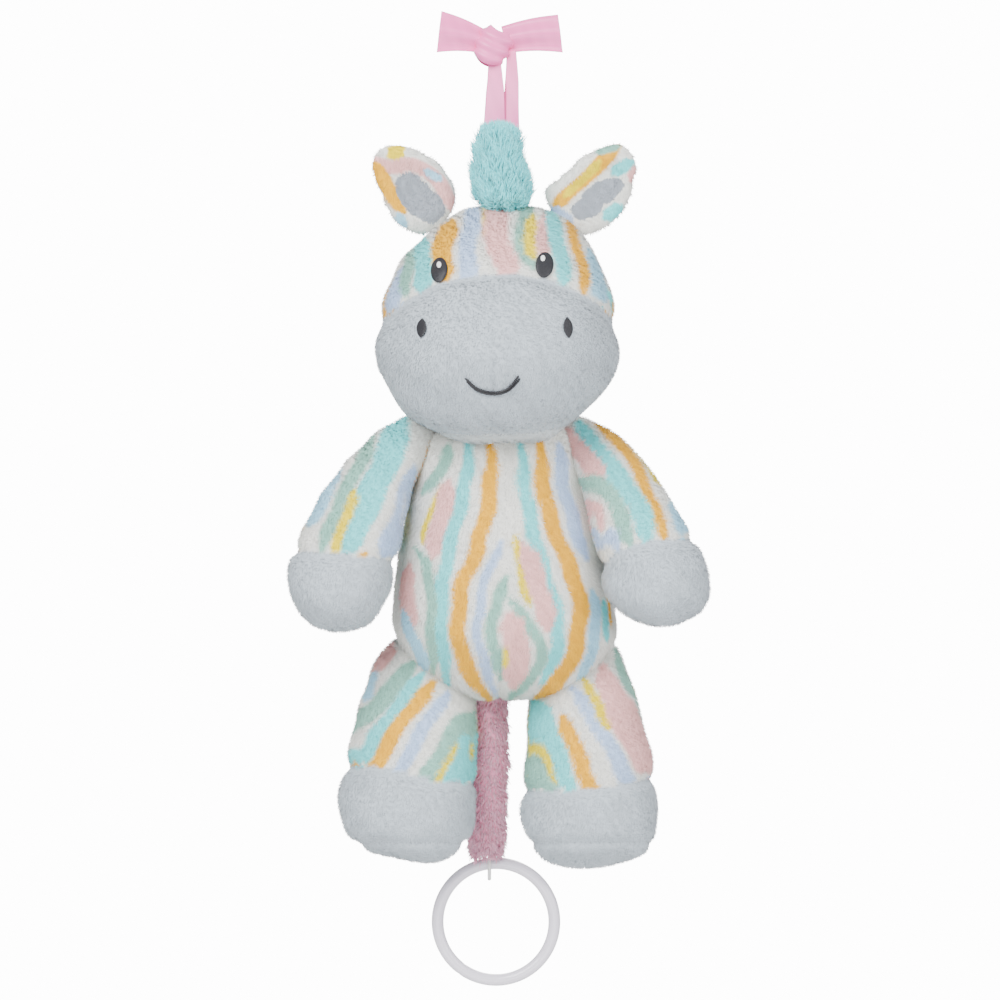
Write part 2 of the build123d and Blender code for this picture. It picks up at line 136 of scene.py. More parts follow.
TORSO_STRIPES = (
    Stripe(Dye.SAGE, 5, ((-21, -160), (-25, -172), (-32.5, -180))),
    Stripe(Dye.YELLOW, 2.5, ((-22.5, -176.5), (-30, -188), (-32, -202))),
    Stripe(Dye.PINK, 7, ((-21, -175.5), (-25, -192), (-28.5, -206.5))),
    Stripe(Dye.AQUA, 5.5, ((-13, -158), (-14, -176.5), (-18, -190.5), (-22.5, -208.5), (-24.5, -225),
                           (-25, -242), (-21.5, -260.5))),
    Stripe(Dye.ORANGE, 6.5, ((-4, -158), (-3.5, -176.5), (-6, -190.5), (-10.5, -207), (-16.5, -218.5),
                             (-18, -235), (-16, -251), (-4, -267.5))),
    Stripe(Dye.PERIWINKLE, 4, ((1.5, -200), (-5, -211.5), (-8.5, -227), (-10, -242), (-1.5, -265))),
    Stripe(Dye.SAGE, 5, ((3.5, -215), (-2, -227), (-4.5, -240), (1, -258))),
    Stripe(Dye.PINK, 8.5, ((-38.5, -211), (-40.5, -225), (-37, -237.5))),
    Stripe(Dye.SAGE, 4, ((-35.5, -203), (-28.5, -213.5), (-29, -241), (-28, -255.5))),
    Stripe(Dye.LIGHT_BLUE, 5, ((-42, -229.5), (-35.5, -242), (-31.5, -255.5))),
    Stripe(Dye.AQUA, 5.5, ((8.5, -158), (10.5, -179), (12.5, -191.5), (19.5, -216.5), (24, -230),
                           (25, -244), (18, -260))),
    Stripe(Dye.ORANGE, 6.5, ((17, -157), (17.5, -176.5), (21, -191.5), (29.5, -212.5), (34, -225),
                             (32, -247), (22.5, -262), (12.5, -268.5))),
    Stripe(Dye.PERIWINKLE, 5.5, ((25, -159.5), (26, -177), (30.5, -191.5), (35.5, -207.5))),
    Stripe(Dye.YELLOW, 4, ((6.5, -198), (9, -211.5), (12, -227))),
    Stripe(Dye.PINK, 8, ((10, -202), (16, -217.5), (20.5, -237))),
    Stripe(Dye.SAGE, 4.5, ((3.5, -224.5), (12.5, -235), (18.5, -244.5), (15, -257), (3.5, -266))),
    Stripe(Dye.PINK, 10, ((4, -231.5), (7.5, -243), (6, -260.5))),
    Stripe(Dye.YELLOW, 2.5, ((2, -245.5), (2, -253))),
    Stripe(Dye.LIGHT_BLUE, 4.5, ((38.5, -221), (40.5, -242), (33.5, -258.5))),
    Stripe(Dye.AQUA, 4, ((43.5, -225), (46, -242))),
    Stripe(Dye.ORANGE, 3, ((47, -221), (49.5, -236))),
)

ARM_RIGHT_STRIPES = (
    Stripe(Dye.AQUA, 11, ((-41, -148.5), (-45.5, -162), (-54, -180.5), (-63, -199), (-65, -206.5))),
    Stripe(Dye.SAGE, 5.5, ((-52.5, -156), (-61.5, -173), (-69, -188), (-75, -204))),
    Stripe(Dye.LIGHT_BLUE, 4, ((-67, -170.5), (-79, -193.5))),
    Stripe(Dye.YELLOW, 4, ((-60.5, -179), (-65.5, -192), (-70, -206.5))),
    Stripe(Dye.PERIWINKLE, 5.5, ((-37, -169.5), (-43, -188), (-50.5, -206.5))),
    Stripe(Dye.ORANGE, 3.5, ((-26, -159), (-32.5, -170.5), (-37, -190.5), (-40, -206.5))),
    Stripe(Dye.ORANGE, 4, ((-56.5, -205), (-59.5, -211))),
    Stripe(Dye.ORANGE, 3.5, ((-80.5, -191.5), (-85, -203.5))),
)

ARM_LEFT_STRIPES = (
    Stripe(Dye.ORANGE, 4.5, ((37, -147), (48, -156), (57.5, -169.5), (64.5, -185), (70.5, -202))),
    Stripe(Dye.AQUA, 8, ((33, -151), (42, -164.5), (52.5, -176.5), (59.5, -188), (63, -202))),
    Stripe(Dye.PINK, 7.5, ((25, -153), (33.5, -162), (43, -174.5))),
    Stripe(Dye.SAGE, 6.5, ((35.5, -174.5), (45.5, -177.5), (50, -188), (55, -202))),
    Stripe(Dye.PINK, 4, ((40.5, -183), (43.5, -197.5))),
    Stripe(Dye.PERIWINKLE, 4, ((47, -195), (49.5, -203.5))),
    Stripe(Dye.SAGE, 4, ((39.5, -195.5), (43, -206.5))),
    Stripe(Dye.LIGHT_BLUE, 4.5, ((70.5, -182.5), (79, -202))),
    Stripe(Dye.YELLOW, 2.5, ((54.5, -158), (67, -176.5))),
)

LEG_RIGHT_STRIPES = (
    Stripe(Dye.PINK, 6, ((-52, -254.5), (-45.5, -243.5))),
    Stripe(Dye.YELLOW, 3, ((-51, -246), (-47, -239.5))),
    Stripe(Dye.LIGHT_BLUE, 4, ((-55.5, -267), (-51, -255.5))),
    Stripe(Dye.SAGE, 6.5, ((-35.5, -250.5), (-48.5, -266.5), (-62, -282))),
    Stripe(Dye.AQUA, 5.5, ((-32, -256), (-46.5, -274), (-59.5, -296.5))),
    Stripe(Dye.ORANGE, 6, ((-27.5, -259.5), (-39, -273), (-48, -286.5), (-54, -300))),
    Stripe(Dye.PERIWINKLE, 5.5, ((-22, -264), (-33.5, -280.5), (-43, -298.5))),
    Stripe(Dye.SAGE, 7.5, ((-14.5, -272), (-23, -288), (-33, -303))),
    Stripe(Dye.YELLOW, 3, ((-18.5, -285.5), (-26, -303))),
    Stripe(Dye.AQUA, 6.5, ((-13.5, -280.5), (-17.5, -294.5), (-22, -305))),
    Stripe(Dye.ORANGE, 3, ((-9, -275.5), (-11, -288))),
)

LEG_LEFT_STRIPES = (
    Stripe(Dye.SAGE, 5.5, ((12, -274), (15.5, -289.5), (24, -307.5))),
    Stripe(Dye.YELLOW, 4, ((13, -270.5), (19, -285), (24.5, -301.5))),
    Stripe(Dye.AQUA, 6.5, ((17, -267), (23, -285), (30.5, -307.5))),
    Stripe(Dye.ORANGE, 6.5, ((26.5, -274), (33, -291), (40, -308.5))),
    Stripe(Dye.PERIWINKLE, 6, ((30.5, -262), (42.5, -279.5), (51, -295.5), (54.5, -304))),
    Stripe(Dye.YELLOW, 4, ((35.5, -258), (41, -270), (46, -279))),
    Stripe(Dye.PINK, 9, ((43, -253.5), (50, -274.5), (58, -289), (64, -302.5))),
    Stripe(Dye.SAGE, 4.5, ((48, -246), (55.5, -265.5), (62, -282))),
    Stripe(Dye.YELLOW, 3, ((57, -260.5), (63, -282))),
)

EAR_RIGHT_STRIPES = (
    Stripe(Dye.YELLOW, 6, ((-46, -38.5), (-40.5, -35.5))),
    Stripe(Dye.PINK, 5.5, ((-53.5, -39.5), (-46, -44), (-38, -41), (-29, -46), (-22.5, -53),
                           (-19.5, -62))),
    Stripe(Dye.ORANGE, 5.5, ((-54, -41), (-47, -52), (-40.5, -62))),
    Stripe(Dye.LIGHT_BLUE, 4, ((-43, -63), (-40.5, -69))),
    Stripe(Dye.LIGHT_BLUE, 3, ((-32, -44.5), (-25, -48.5))),
)

EAR_LEFT_STRIPES = (
    Stripe(Dye.ORANGE, 5.5, ((22.5, -60.5), (35.5, -48), (51, -33))),
    Stripe(Dye.YELLOW, 3.5, ((27.5, -55.5), (42, -40.5))),
    Stripe(Dye.AQUA, 5, ((47, -45.5), (55.5, -41))),
    Stripe(Dye.PINK, 4.5, ((54.5, -48.5), (57.5, -43))),
    Stripe(Dye.AQUA, 5, ((43.5, -64.5), (51, -59.5))),
    Stripe(Dye.PERIWINKLE, 5, ((22, -60.5), (29.5, -66.5))),
    Stripe(Dye.SAGE, 3, ((41, -37), (50.5, -34.5))),
)

MUZZLE_SEAM = (
    (-56, -118), (-48.7, -105.4), (-30.7, -94), (-20.6, -90.7), (-8.8, -88.6), (1.3, -87.8),
    (12.2, -88.6), (24, -91.6), (32.8, -95), (42, -101.6), (46.6, -106.3), (54, -117))
CHIN_SEAM = (
    (-52, -132), (-38.5, -150.5), (-26, -155), (-12.6, -155.8), (10, -155.4), (18.5, -154.2),
    (31.5, -150.8), (50, -134))
MUZZLE_DART = ((-2.5, -125.6), (-3, -138))
FRONT_SEAM = ((0, -150), (1.7, -160), (2.9, -188), (2.9, -211.7), (0.8, -235), (-0.4, -270))

HEAD_LEVELS = (
    (-58, 0, 0, -7, -7), (-62, -16, 20, -22, 8), (-64, -22, 27, -24, 10), (-74, -33, 36.5, -38, 22),
    (-79.4, -40, 39.5, -43, 27), (-85, -43, 42, -47, 31), (-91, -46, 45.5, -52, 35),
    (-103, -50, 48.5, -62, 38), (-115, -52.4, 50.2, -68, 38), (-124, -52.6, 50.2, -70.5, 37),
    (-131.5, -51.2, 49.1, -70, 35), (-138, -48, 45.8, -67, 31), (-147.5, -42.8, 38.6, -62, 22),
    (-153, -36, 30, -57, 12), (-158, -26, 24, -48, -2), (-160.5, -12.6, 10, -40, -20),
    (-161.5, 0, 0, -32, -32))
TORSO_SIDES = (
    (-149, -22, 24), (-153, -30, 31), (-158, -33, 35), (-165, -36, 37), (-180, -39, 40),
    (-200, -43, 44.5), (-212, -45, 46.5), (-223, -45.4, 49), (-230.6, -47, 49.8), (-241, -44, 50),
    (-246, -41, 47.9), (-252, -37, 43), (-258, -30, 39.5), (-261, -26.5, 35), (-265, -18, 28),
    (-266.7, -12, 20))
TORSO_LEVELS = (
    (-146, 1, 1, 1, 1),
    *((z, left, right, 1 - 0.42 * (right - left), 1 + 0.375 * (right - left))
      for z, left, right in TORSO_SIDES),
    (-268.8, 1.7, 1.7, 1, 1))
ARM_RIGHT_LEVELS = (
    (-145, -36, -36, -2, -2), (-150, -48, -24, -10, 6), (-156, -55.5, -23.5, -17, 7),
    (-165, -64, -27.5, -24.5, 4.5), (-175, -71.5, -33.5, -31, 1), (-185, -77.5, -36.5, -36.5, -1.5),
    (-195, -82, -38.5, -41, -3), (-205, -86.5, -40.5, -45.5, -4.5), (-212, -88, -42, -48, -6),
    (-220, -87.5, -43.5, -49.5, -8.5), (-228, -85, -46.5, -47.5, -12.5), (-234, -80, -52, -42, -18),
    (-238, -73, -59, -36, -24), (-239.6, -66, -66, -30, -30))
ARM_LEFT_LEVELS = (
    (-144.5, 33, 33, -2, -2), (-150, 21, 43, -10, 6), (-156, 22, 51.5, -17, 7),
    (-165, 25.5, 60, -24.5, 4.5), (-175, 30.5, 67, -31, 1), (-185, 34, 73, -36.5, -1.5),
    (-195, 36.5, 79, -41, -3), (-205, 39, 84.5, -45.5, -4.5), (-212, 40.5, 86.8, -48, -6),
    (-220, 40.5, 87.5, -49.5, -8.5), (-228, 45.5, 85, -46.5, -13.5), (-233, 53, 80, -41, -19),
    (-236.5, 68, 68, -30, -30))
LEG_RIGHT_LEVELS = (
    (-238, -38, -38, 9, 9), (-244, -50, -20, -6, 24), (-255, -56, -12, -14, 30),
    (-263, -58.5, -9, -18, 28), (-271, -61, -9, -22, 26), (-285, -64.3, -8.6, -27, 23),
    (-296, -66, -8.6, -32, 21), (-303, -68.5, -8.7, -34, 20), (-315, -68.2, -8.8, -37, 18),
    (-324.7, -62.6, -11.3, -35, 14), (-330, -54, -16, -28, 8), (-333.5, -42, -22, -20, 0),
    (-335, -30, -30, -10, -10))
LEG_LEFT_LEVELS = (
    (-238, 34, 34, 9, 9), (-244, 15, 50.8, -6, 24), (-255, 11, 54.5, -14, 30),
    (-263, 11, 57.5, -18, 28), (-271, 11, 60, -22, 26), (-285, 10.6, 63.8, -27, 23),
    (-298, 9.5, 65.3, -32, 21), (-306, 8.2, 66, -34.5, 19.5), (-317, 8, 66.3, -37, 18),
    (-325, 9.8, 65.5, -35, 14), (-331, 14, 60.5, -28, 8), (-335, 18, 52, -20, 0),
    (-337.5, 28, 42, -12, -6), (-338.3, 36, 36, -9, -9))
ARM_RIGHT_SEAM = ((-100, -203), (-86.5, -204.5), (-63, -205.8), (-47.5, -207.5), (-30, -214))
ARM_LEFT_SEAM = ((30, -216), (42.4, -212), (49, -204), (61, -200), (82, -199.5), (100, -199))
LEG_RIGHT_SEAM = ((-80, -295), (-64, -295), (-52, -295), (-41, -297), (-28, -301), (-8.8, -302), (0, -302))
LEG_LEFT_SEAM = ((0, -305), (9.7, -305), (39, -305), (53, -302), (64, -300), (80, -299))
SOLE_SEAM_Z = -327.0
EYE_LEFT, EYE_RIGHT = (18.7, -84.4), (-25.6, -86.5)
NOSTRIL_LEFT, NOSTRIL_RIGHT = (28.6, -110.7), (-33, -110.9)

EAR_RIGHT_EDGE = (
    (-53.3, -37.8), (-48.7, -34), (-43.7, -33.6), (-37.8, -34.4), (-30.7, -37.8), (-23.9, -42),
    (-21, -46.6), (-17.6, -52.5), (-17, -58), (-23, -69), (-32.8, -73.9), (-38.2, -71.8),
    (-43.3, -68.9), (-47.5, -63), (-50.4, -55.4), (-53.8, -47.5), (-54.6, -42.8))
EAR_LEFT_EDGE = (
    (16.8, -53.3), (22.3, -50), (28.1, -44.5), (35.7, -37.4), (40.7, -35.3), (45.4, -33.6),
    (50.4, -32.8), (54.2, -35.3), (56.7, -38.6), (58.4, -44.5), (56.7, -49.1), (56.3, -55.4),
    (54.2, -60), (50.4, -65.5), (46.2, -69.3), (40.7, -72.2), (34, -74), (22, -66))
EAR_RIGHT_LINING = (
    (-43.3, -49.1), (-40.7, -46.6), (-37, -46.2), (-32.8, -49.1), (-29, -53.8), (-22.7, -62.6),
    (-27.7, -68), (-34.4, -65.1), (-39.5, -60.9), (-42.4, -56.7))
EAR_LEFT_LINING = (
    (29, -61.7), (33.6, -58), (37.8, -52.5), (42.8, -49.6), (50, -49.1), (52.1, -51.7), (48.7, -55.9),
    (42.8, -59.6), (37, -65.5), (32.3, -66.4))


def clear_selection() -> None:
    """Deselects every object."""
    if bpy.context.object and bpy.context.object.mode != "OBJECT":
        bpy.ops.object.mode_set(mode="OBJECT")
    bpy.ops.object.select_all(action="DESELECT")


def select_only(*pieces: bpy.types.Object) -> None:
    """Selects pieces and nothing else, and makes the first one active."""
    clear_selection()
    for piece in pieces:
        piece.select_set(True)
    bpy.context.view_layer.objects.active = pieces[0]


def join(name: str, pieces: list[bpy.types.Object]) -> bpy.types.Object:
    """Joins pieces in one.

    Args:
        name: The joined piece's name.
        pieces: The pieces, the first of which stays.

    Returns:
        The joined piece.
    """
    select_only(*pieces)
    bpy.ops.object.join()
    pieces[0].name = name
    return pieces[0]


def turn_out(obj: bpy.types.Object) -> None:
    """Turns a closed piece's faces outwards and leaves it selected."""
    select_only(obj)
    bpy.ops.object.mode_set(mode="EDIT")
    bpy.ops.mesh.select_all(action="SELECT")
    bpy.ops.mesh.normals_make_consistent(inside=False)
    bpy.ops.object.mode_set(mode="OBJECT")


def apply_modifiers(obj: bpy.types.Object) -> None:
    """Applies every modifier of an object.

    Args:
        obj: The object, which becomes the active one.
    """
    bpy.context.view_layer.objects.active = obj
    for modifier in list(obj.modifiers):
        bpy.ops.object.modifier_apply(modifier=modifier.name)


def points_of(obj: bpy.types.Object) -> np.ndarray:
    """Reads a mesh's points.

    Args:
        obj: The mesh object.

    Returns:
        Its points in millimetres, one row each.
    """
    flat = np.empty(len(obj.data.vertices) * 3)
    obj.data.vertices.foreach_get("co", flat)
    return flat.reshape(-1, 3) / MM


def move_points(obj: bpy.types.Object, points: np.ndarray) -> None:
    """Writes a mesh's points.

    Args:
        obj: The mesh object.
        points: The new points in millimetres.
    """
    obj.data.vertices.foreach_set("co", (points * MM).ravel())
    obj.data.update()


def normals_of(mesh: bpy.types.Mesh) -> np.ndarray:
    """Reads a mesh's point normals.

    Args:
        mesh: The mesh.

    Returns:
        One unit normal to a row.
    """
    flat = np.empty(len(mesh.vertices) * 3)
    mesh.vertex_normals.foreach_get("vector", flat)
    return flat.reshape(-1, 3)


def unit(rows: np.ndarray, least: float = 0.0) -> np.ndarray:
    """Scales rows to a length of one.

    Args:
        rows: Vectors, one to a row.
        least: What is added to each length, so that none is zero.

    Returns:
        The unit rows.
    """
    return rows / (np.linalg.norm(rows, axis=1)[:, None] + least)


def with_corners(faces: list[tuple[int, ...]], count: int) -> np.ndarray:
    """The faces that have one count of corners, a row each."""
    return np.array([face for face in faces if len(face) == count], int).reshape(-1, count)


def hermite(where: np.ndarray, knots: np.ndarray, values: np.ndarray) -> np.ndarray:
    """Smoothly interpolates rows of values.

    Args:
        where: The places to read.
        knots: The rising places of the given values.
        values: One row of values to a knot.

    Returns:
        One row of values to a place.
    """
    slopes = np.gradient(values, knots, axis=0)
    i = np.clip(np.searchsorted(knots, where) - 1, 0, len(knots) - 2)
    step = (knots[i + 1] - knots[i])[:, None]
    t = (where[:, None] - knots[i][:, None]) / step
    near = (1 + 2 * t) * (1 - t) ** 2 * values[i] + t * (1 - t) ** 2 * step * slopes[i]
    return near + t * t * (3 - 2 * t) * values[i + 1] + t * t * (t - 1) * step * slopes[i + 1]


def rounded(path: tuple[tuple[float, float], ...]) -> np.ndarray:
    """Cuts a path's corners twice.

    Args:
        path: The path's corners.

    Returns:
        A softer path with the same ends.
    """
    line = np.array(path, float)
    for _ in range(2):
        if len(line) < 3:
            break
        near, far = 0.75 * line[:-1] + 0.25 * line[1:], 0.25 * line[:-1] + 0.75 * line[1:]
        inner = np.stack((near, far), axis=1).reshape(-1, 2)
        line = np.vstack((line[:1], inner[1:-1], line[-1:]))
    return line


def along_path(points: np.ndarray, path: tuple[tuple[float, float], ...]) -> tuple[np.ndarray, np.ndarray]:
    """Measures points against a path.

    Args:
        points: Points in x and z.
        path: The path's corners in x and z.

    Returns:
        Each point's distance from the path, and how far along it is, from 0 to 1.
    """
    line = rounded(path)
    lengths = np.linalg.norm(np.diff(line, axis=0), axis=1)
    before = np.concatenate(((0,), np.cumsum(lengths)))
    best, share = np.full(len(points), 1e9), np.zeros(len(points))
    for i, a in enumerate(line[:-1]):
        d = line[i + 1] - a
        t = np.clip(((points - a) @ d) / (d @ d), 0, 1)
        gap = np.linalg.norm(points - a - t[:, None] * d, axis=1)
        nearer = gap < best
        best = np.where(nearer, gap, best)
        share = np.where(nearer, (before[i] + t * lengths[i]) / before[-1], share)
    return best, share


def sighted(points: np.ndarray) -> np.ndarray:
    """Projects points on the toy's middle plane from the eye in front of it.

    Args:
        points: Points in millimetres.

    Returns:
        Their x and z on the plane.
    """
    grow = EYE_DISTANCE / (EYE_DISTANCE + points[:, 1])
    return np.column_stack((points[:, 0] * grow, EYE_HEIGHT + (points[:, 2] - EYE_HEIGHT) * grow))


def line_z(path: tuple[tuple[float, float], ...], x: np.ndarray) -> np.ndarray:
    """The height of a seam that runs from side to side, at each x."""
    line = rounded(path)
    return np.interp(x, line[:, 0], line[:, 1])


@dataclass(frozen=True)
class PlushPrint:
    """The printed cloth of one part: stripes on white, grey where another cloth is sewn on."""

    stripes: tuple[Stripe, ...]
    middle: float
    grey: MASK
    pale: MASK | None = None
    plain: Dye = Dye.GREY
    back_from: float = 100.0
    top: float = -58.0
    squeeze: float = 1.0

    def colours(self, points: np.ndarray, normals: np.ndarray) -> np.ndarray:
        """Dyes points of the part.

        Args:
            points: Points in millimetres.
            normals: Their outward normals.

        Returns:
            Linear colours, one row each.
        """
        seen = sighted(points)
        back = (normals[:, 1] > 0.25) | (points[:, 1] > self.back_from)
        depth = points[:, 1] - points[:, 1].mean()
        sideways = np.sign(normals[:, 0]) * np.abs(normals[:, 0]) ** 7
        around = np.where(back, points[:, 0], seen[:, 0]) + 0.8 * sideways * depth
        x = np.where(back, 2 * self.middle - around + 4, around)
        z = np.where(back, self.top + (points[:, 2] - self.top) * self.squeeze, seen[:, 1])
        flat = np.column_stack((x + 0.5 * np.sin(z * 0.31), z))
        colour = np.tile(Dye.WHITE.linear(), (len(points), 1))
        for stripe in self.stripes:
            gap, share = along_path(flat, stripe.path)
            taper = np.clip(5 * np.minimum(share, 1 - share) + 0.4, 0, 1)
            cover = np.clip((stripe.width * 0.54 * taper - gap) / 1.0 + 0.5, 0, 1)[:, None]
            colour = colour * (1 - cover) + stripe.dye.linear() * cover
        colour[self.grey(points)] = self.plain.linear()
        if self.pale:
            colour[self.pale(points)] = Dye.PALE_GREY.linear()
        return colour


@dataclass(frozen=True)
class Pile:
    """Cut pile: hairs to a square millimetre, and how long, wide, slanted and untidy they are."""

    density: float = 1.6
    length: float = 1.7
    width: float = 0.55
    lean: float = 1.25
    root_shade: float = 0.84
    clumping: float = 0.28
    mess: float = 0.35
    sunk: float = 0.25
    seed: int = 1

    def grow(self, points: np.ndarray, normals: np.ndarray, triangles: np.ndarray,
             sweep: Callable[[np.ndarray], np.ndarray] | None = None,
             trim: Callable[[np.ndarray], np.ndarray] | None = None
             ) -> tuple[np.ndarray, np.ndarray, np.ndarray, np.ndarray]:
        """Grows hairs on triangles.

        Args:
            points: The skin's points in millimetres.
            normals: The skin's point normals.
            triangles: The skin's triangles, as point numbers.
            sweep: Gives the way the hairs lie at given roots; straight down if left out.
            trim: Gives the share of the length that is left at given roots.

        Returns:
            Hair points, hair triangles, the roots and the root normals, the last two one to a hair.
        """
        rng = np.random.default_rng(self.seed)
        corner = points[triangles]
        edge, other = corner[:, 1] - corner[:, 0], corner[:, 2] - corner[:, 0]
        area = np.linalg.norm(np.cross(edge, other), axis=1) / 2
        total = np.cumsum(area)
        count = int(total[-1] * self.density)
        picked = np.searchsorted(total, (np.arange(count) + rng.random(count)) / count * total[-1])
        picked = np.minimum(picked, len(triangles) - 1)
        a, b = rng.random(count), rng.random(count)
        over = a + b > 1
        a[over], b[over] = 1 - a[over], 1 - b[over]
        share = np.column_stack((1 - a - b, a, b))[:, :, None]
        roots = (corner[picked] * share).sum(axis=1)
        normal = unit((normals[triangles[picked]] * share).sum(axis=1))
        way = sweep(roots) if sweep else np.tile(-UP, (count, 1))
        clump = np.column_stack([
            np.sin(roots[:, 0] * 1.3 + roots[:, 2] * k + k)
            + np.sin(roots[:, 2] * 1.7 - k + roots[:, 1] * 1.1)
            for k in (0.7, 1.9, 3.1)])
        way = way + self.clumping * clump + self.mess * rng.standard_normal((count, 3))
        way = unit(way - (way * normal).sum(axis=1)[:, None] * normal, 1e-6)
        left = trim(roots) if trim else np.ones(count)
        length = self.length * left * rng.uniform(0.75, 1.15, count)
        aim = unit(normal + self.lean * way)
        side = np.cross(normal, way) * (self.width / 2)
        base = roots - self.sunk * normal
        tips = roots + aim * length[:, None]
        hairs = np.stack((base + side, base - side, base - way * self.width * 0.7, tips), axis=1)
        corners = np.array(((0, 1, 3), (1, 2, 3), (2, 0, 3), (0, 2, 1)))
        if np.einsum("ij,ij->i", np.cross(hairs[:, 1] - hairs[:, 0], hairs[:, 2] - hairs[:, 0]),
                     hairs[:, 3] - hairs[:, 0]).mean() < 0:
            corners = corners[:, ::-1]
        faces = (np.arange(count)[:, None, None] * 4 + corners).reshape(-1, 3)
        return hairs.reshape(-1, 3), faces, roots, normal


def lay_cloth(piece: bpy.types.Object, points: np.ndarray, faces: list[np.ndarray], inner: list[bool],
              home: np.ndarray, axis: tuple[float, float]) -> None:
    """Lays a piece's faces out round an upright axis, as its bake map.

    Args:
        piece: The piece.
        points: Its points in millimetres.
        faces: Arrays of faces, each of one corner count.
        inner: Which of those arrays is the cloth's hidden side.
        home: The point whose place each point takes, so that a hair shares its root's.
        axis: The axis's x and y.
    """
    spot = points[home]
    angle = np.arctan2(spot[:, 0] - axis[0], -(spot[:, 1] - axis[1])) / (2 * math.pi)
    low, high = spot[:, 2].min(), spot[:, 2].max()
    rise = (spot[:, 2] - low) / (high - low)
    rows = []
    for block, hidden in zip(faces, inner):
        turn = angle[block]
        turn = turn - np.round(turn - turn[:, :1])
        height = rise[block] * (0.24 if hidden else 0.7) + (0.01 if hidden else 0.28)
        rows.append(np.stack(((turn + 0.75) / 1.5, height), axis=2).ravel())
    layer = piece.data.uv_layers.new(name="OFBake")
    layer.data.foreach_set("uv", np.concatenate(rows))


def new_mesh(name: str, points: np.ndarray, faces: list[np.ndarray]) -> bpy.types.Object:
    """Makes an object from point and face arrays.

    Args:
        name: The object's name.
        points: Points in millimetres.
        faces: Arrays of faces, each of one corner count.

    Returns:
        The new object, at the origin.
    """
    mesh = bpy.data.meshes.new(name)
    mesh.vertices.add(len(points))
    mesh.vertices.foreach_set("co", (points * MM).ravel())
    corners = np.concatenate([block.ravel() for block in faces])
    sizes = np.concatenate([np.full(len(block), block.shape[1]) for block in faces])
    mesh.loops.add(len(corners))
    mesh.loops.foreach_set("vertex_index", corners)
    mesh.polygons.add(len(sizes))
    mesh.polygons.foreach_set("loop_start", np.concatenate(((0,), np.cumsum(sizes)[:-1])))
    mesh.update(calc_edges=True)
    mesh.shade_smooth()
    obj = bpy.data.objects.new(name, mesh)
    bpy.context.scene.collection.objects.link(obj)
    return obj


@dataclass
class PlushForm:
    """A stuffed part's closed skin, lofted through level outlines and blown up like a filled bag.

    Each level is a height, then the outline's left, right, front and back there.
    """

    name: str
    levels: tuple[LEVEL, ...]
    inset: float = 1.1
    swell: float = 1.6
    voxel: float = 4.5

    def build(self) -> bpy.types.Object:
        """Lofts, fills and smooths the skin.

        Returns:
            The skin.
        """
        clear_selection()
        bpy.ops.mesh.primitive_uv_sphere_add(segments=64, ring_count=48, radius=1)
        obj = bpy.context.object
        obj.name = self.name + "_skin"
        self.loft(obj)
        self.inflate(obj)
        smooth = obj.modifiers.new("Smooth", "SMOOTH")
        smooth.factor, smooth.iterations = 0.5, 4
        round_off = obj.modifiers.new("Round", "SUBSURF")
        round_off.levels = round_off.render_levels = 1
        apply_modifiers(obj)
        return obj

    def loft(self, obj: bpy.types.Object) -> None:
        """Moves a unit sphere's rings to the level outlines.

        Args:
            obj: The sphere.
        """
        table = np.array(self.levels)
        z, left, right, front, back = table.T
        knots = np.concatenate(((0,), np.cumsum(np.hypot(np.diff(z), np.diff(right - left) / 2))))
        ball = points_of(obj) * MM
        drop = np.arccos(np.clip(ball[:, 2], -1, 1)) / math.pi * knots[-1]
        level = hermite(drop, knots, table)
        reach = np.linalg.norm(ball[:, :2], axis=1)
        around = ball[:, :2] / np.maximum(reach, 1e-9)[:, None]
        around = np.sign(around) * np.abs(around) ** 0.94
        around[reach < 1e-6] = 0
        spread = np.column_stack(((level[:, 2] - level[:, 1]) / 2, (level[:, 4] - level[:, 3]) / 2))
        spread = np.maximum(spread, 0)
        centre = np.column_stack(((level[:, 1] + level[:, 2]) / 2, (level[:, 3] + level[:, 4]) / 2))
        placed = np.column_stack((centre + around * spread, level[:, 0]))
        move_points(obj, placed)
        move_points(obj, placed - self.inset * normals_of(obj.data))

    def inflate(self, obj: bpy.types.Object) -> None:
        """Remeshes the skin and fills it by cloth pressure, no point moving further than the swell.

        Args:
            obj: The lofted skin.
        """
        remesh = obj.modifiers.new("Remesh", "REMESH")
        remesh.mode, remesh.voxel_size = "VOXEL", self.voxel * MM
        apply_modifiers(obj)
        before = points_of(obj)
        cloth = obj.modifiers.new("Cloth", "CLOTH")
        cloth.settings.quality = 4
        cloth.settings.use_pressure = True
        cloth.settings.uniform_pressure_force = 4
        cloth.settings.effector_weights.gravity = 0
        for step in range(1, 21):
            bpy.context.scene.frame_set(step)
        apply_modifiers(obj)
        moved = points_of(obj) - before
        moved -= moved.mean(axis=0)
        far = np.linalg.norm(moved, axis=1)
        moved *= np.minimum(1, self.swell / np.maximum(far, 1e-6))[:, None]
        bpy.context.scene.frame_set(1)
        move_points(obj, before + moved)


@dataclass(frozen=True)
class Seam:
    """A sewn line on a part's front, in x and z, that pulls the skin in and parts the pile."""

    path: tuple[tuple[float, float], ...]
    depth: float = 1.4
    reach: float = 2.6

    def pull(self, points: np.ndarray) -> np.ndarray:
        """How strongly the seam acts at each point, from 0 to 1."""
        return self.near(points, self.reach)

    def near(self, points: np.ndarray, reach: float) -> np.ndarray:
        """How near each point is to the seam, from 0 to 1, falling off over the reach."""
        gap, _ = along_path(sighted(points), self.path)
        return np.exp(-(gap / reach) ** 2)


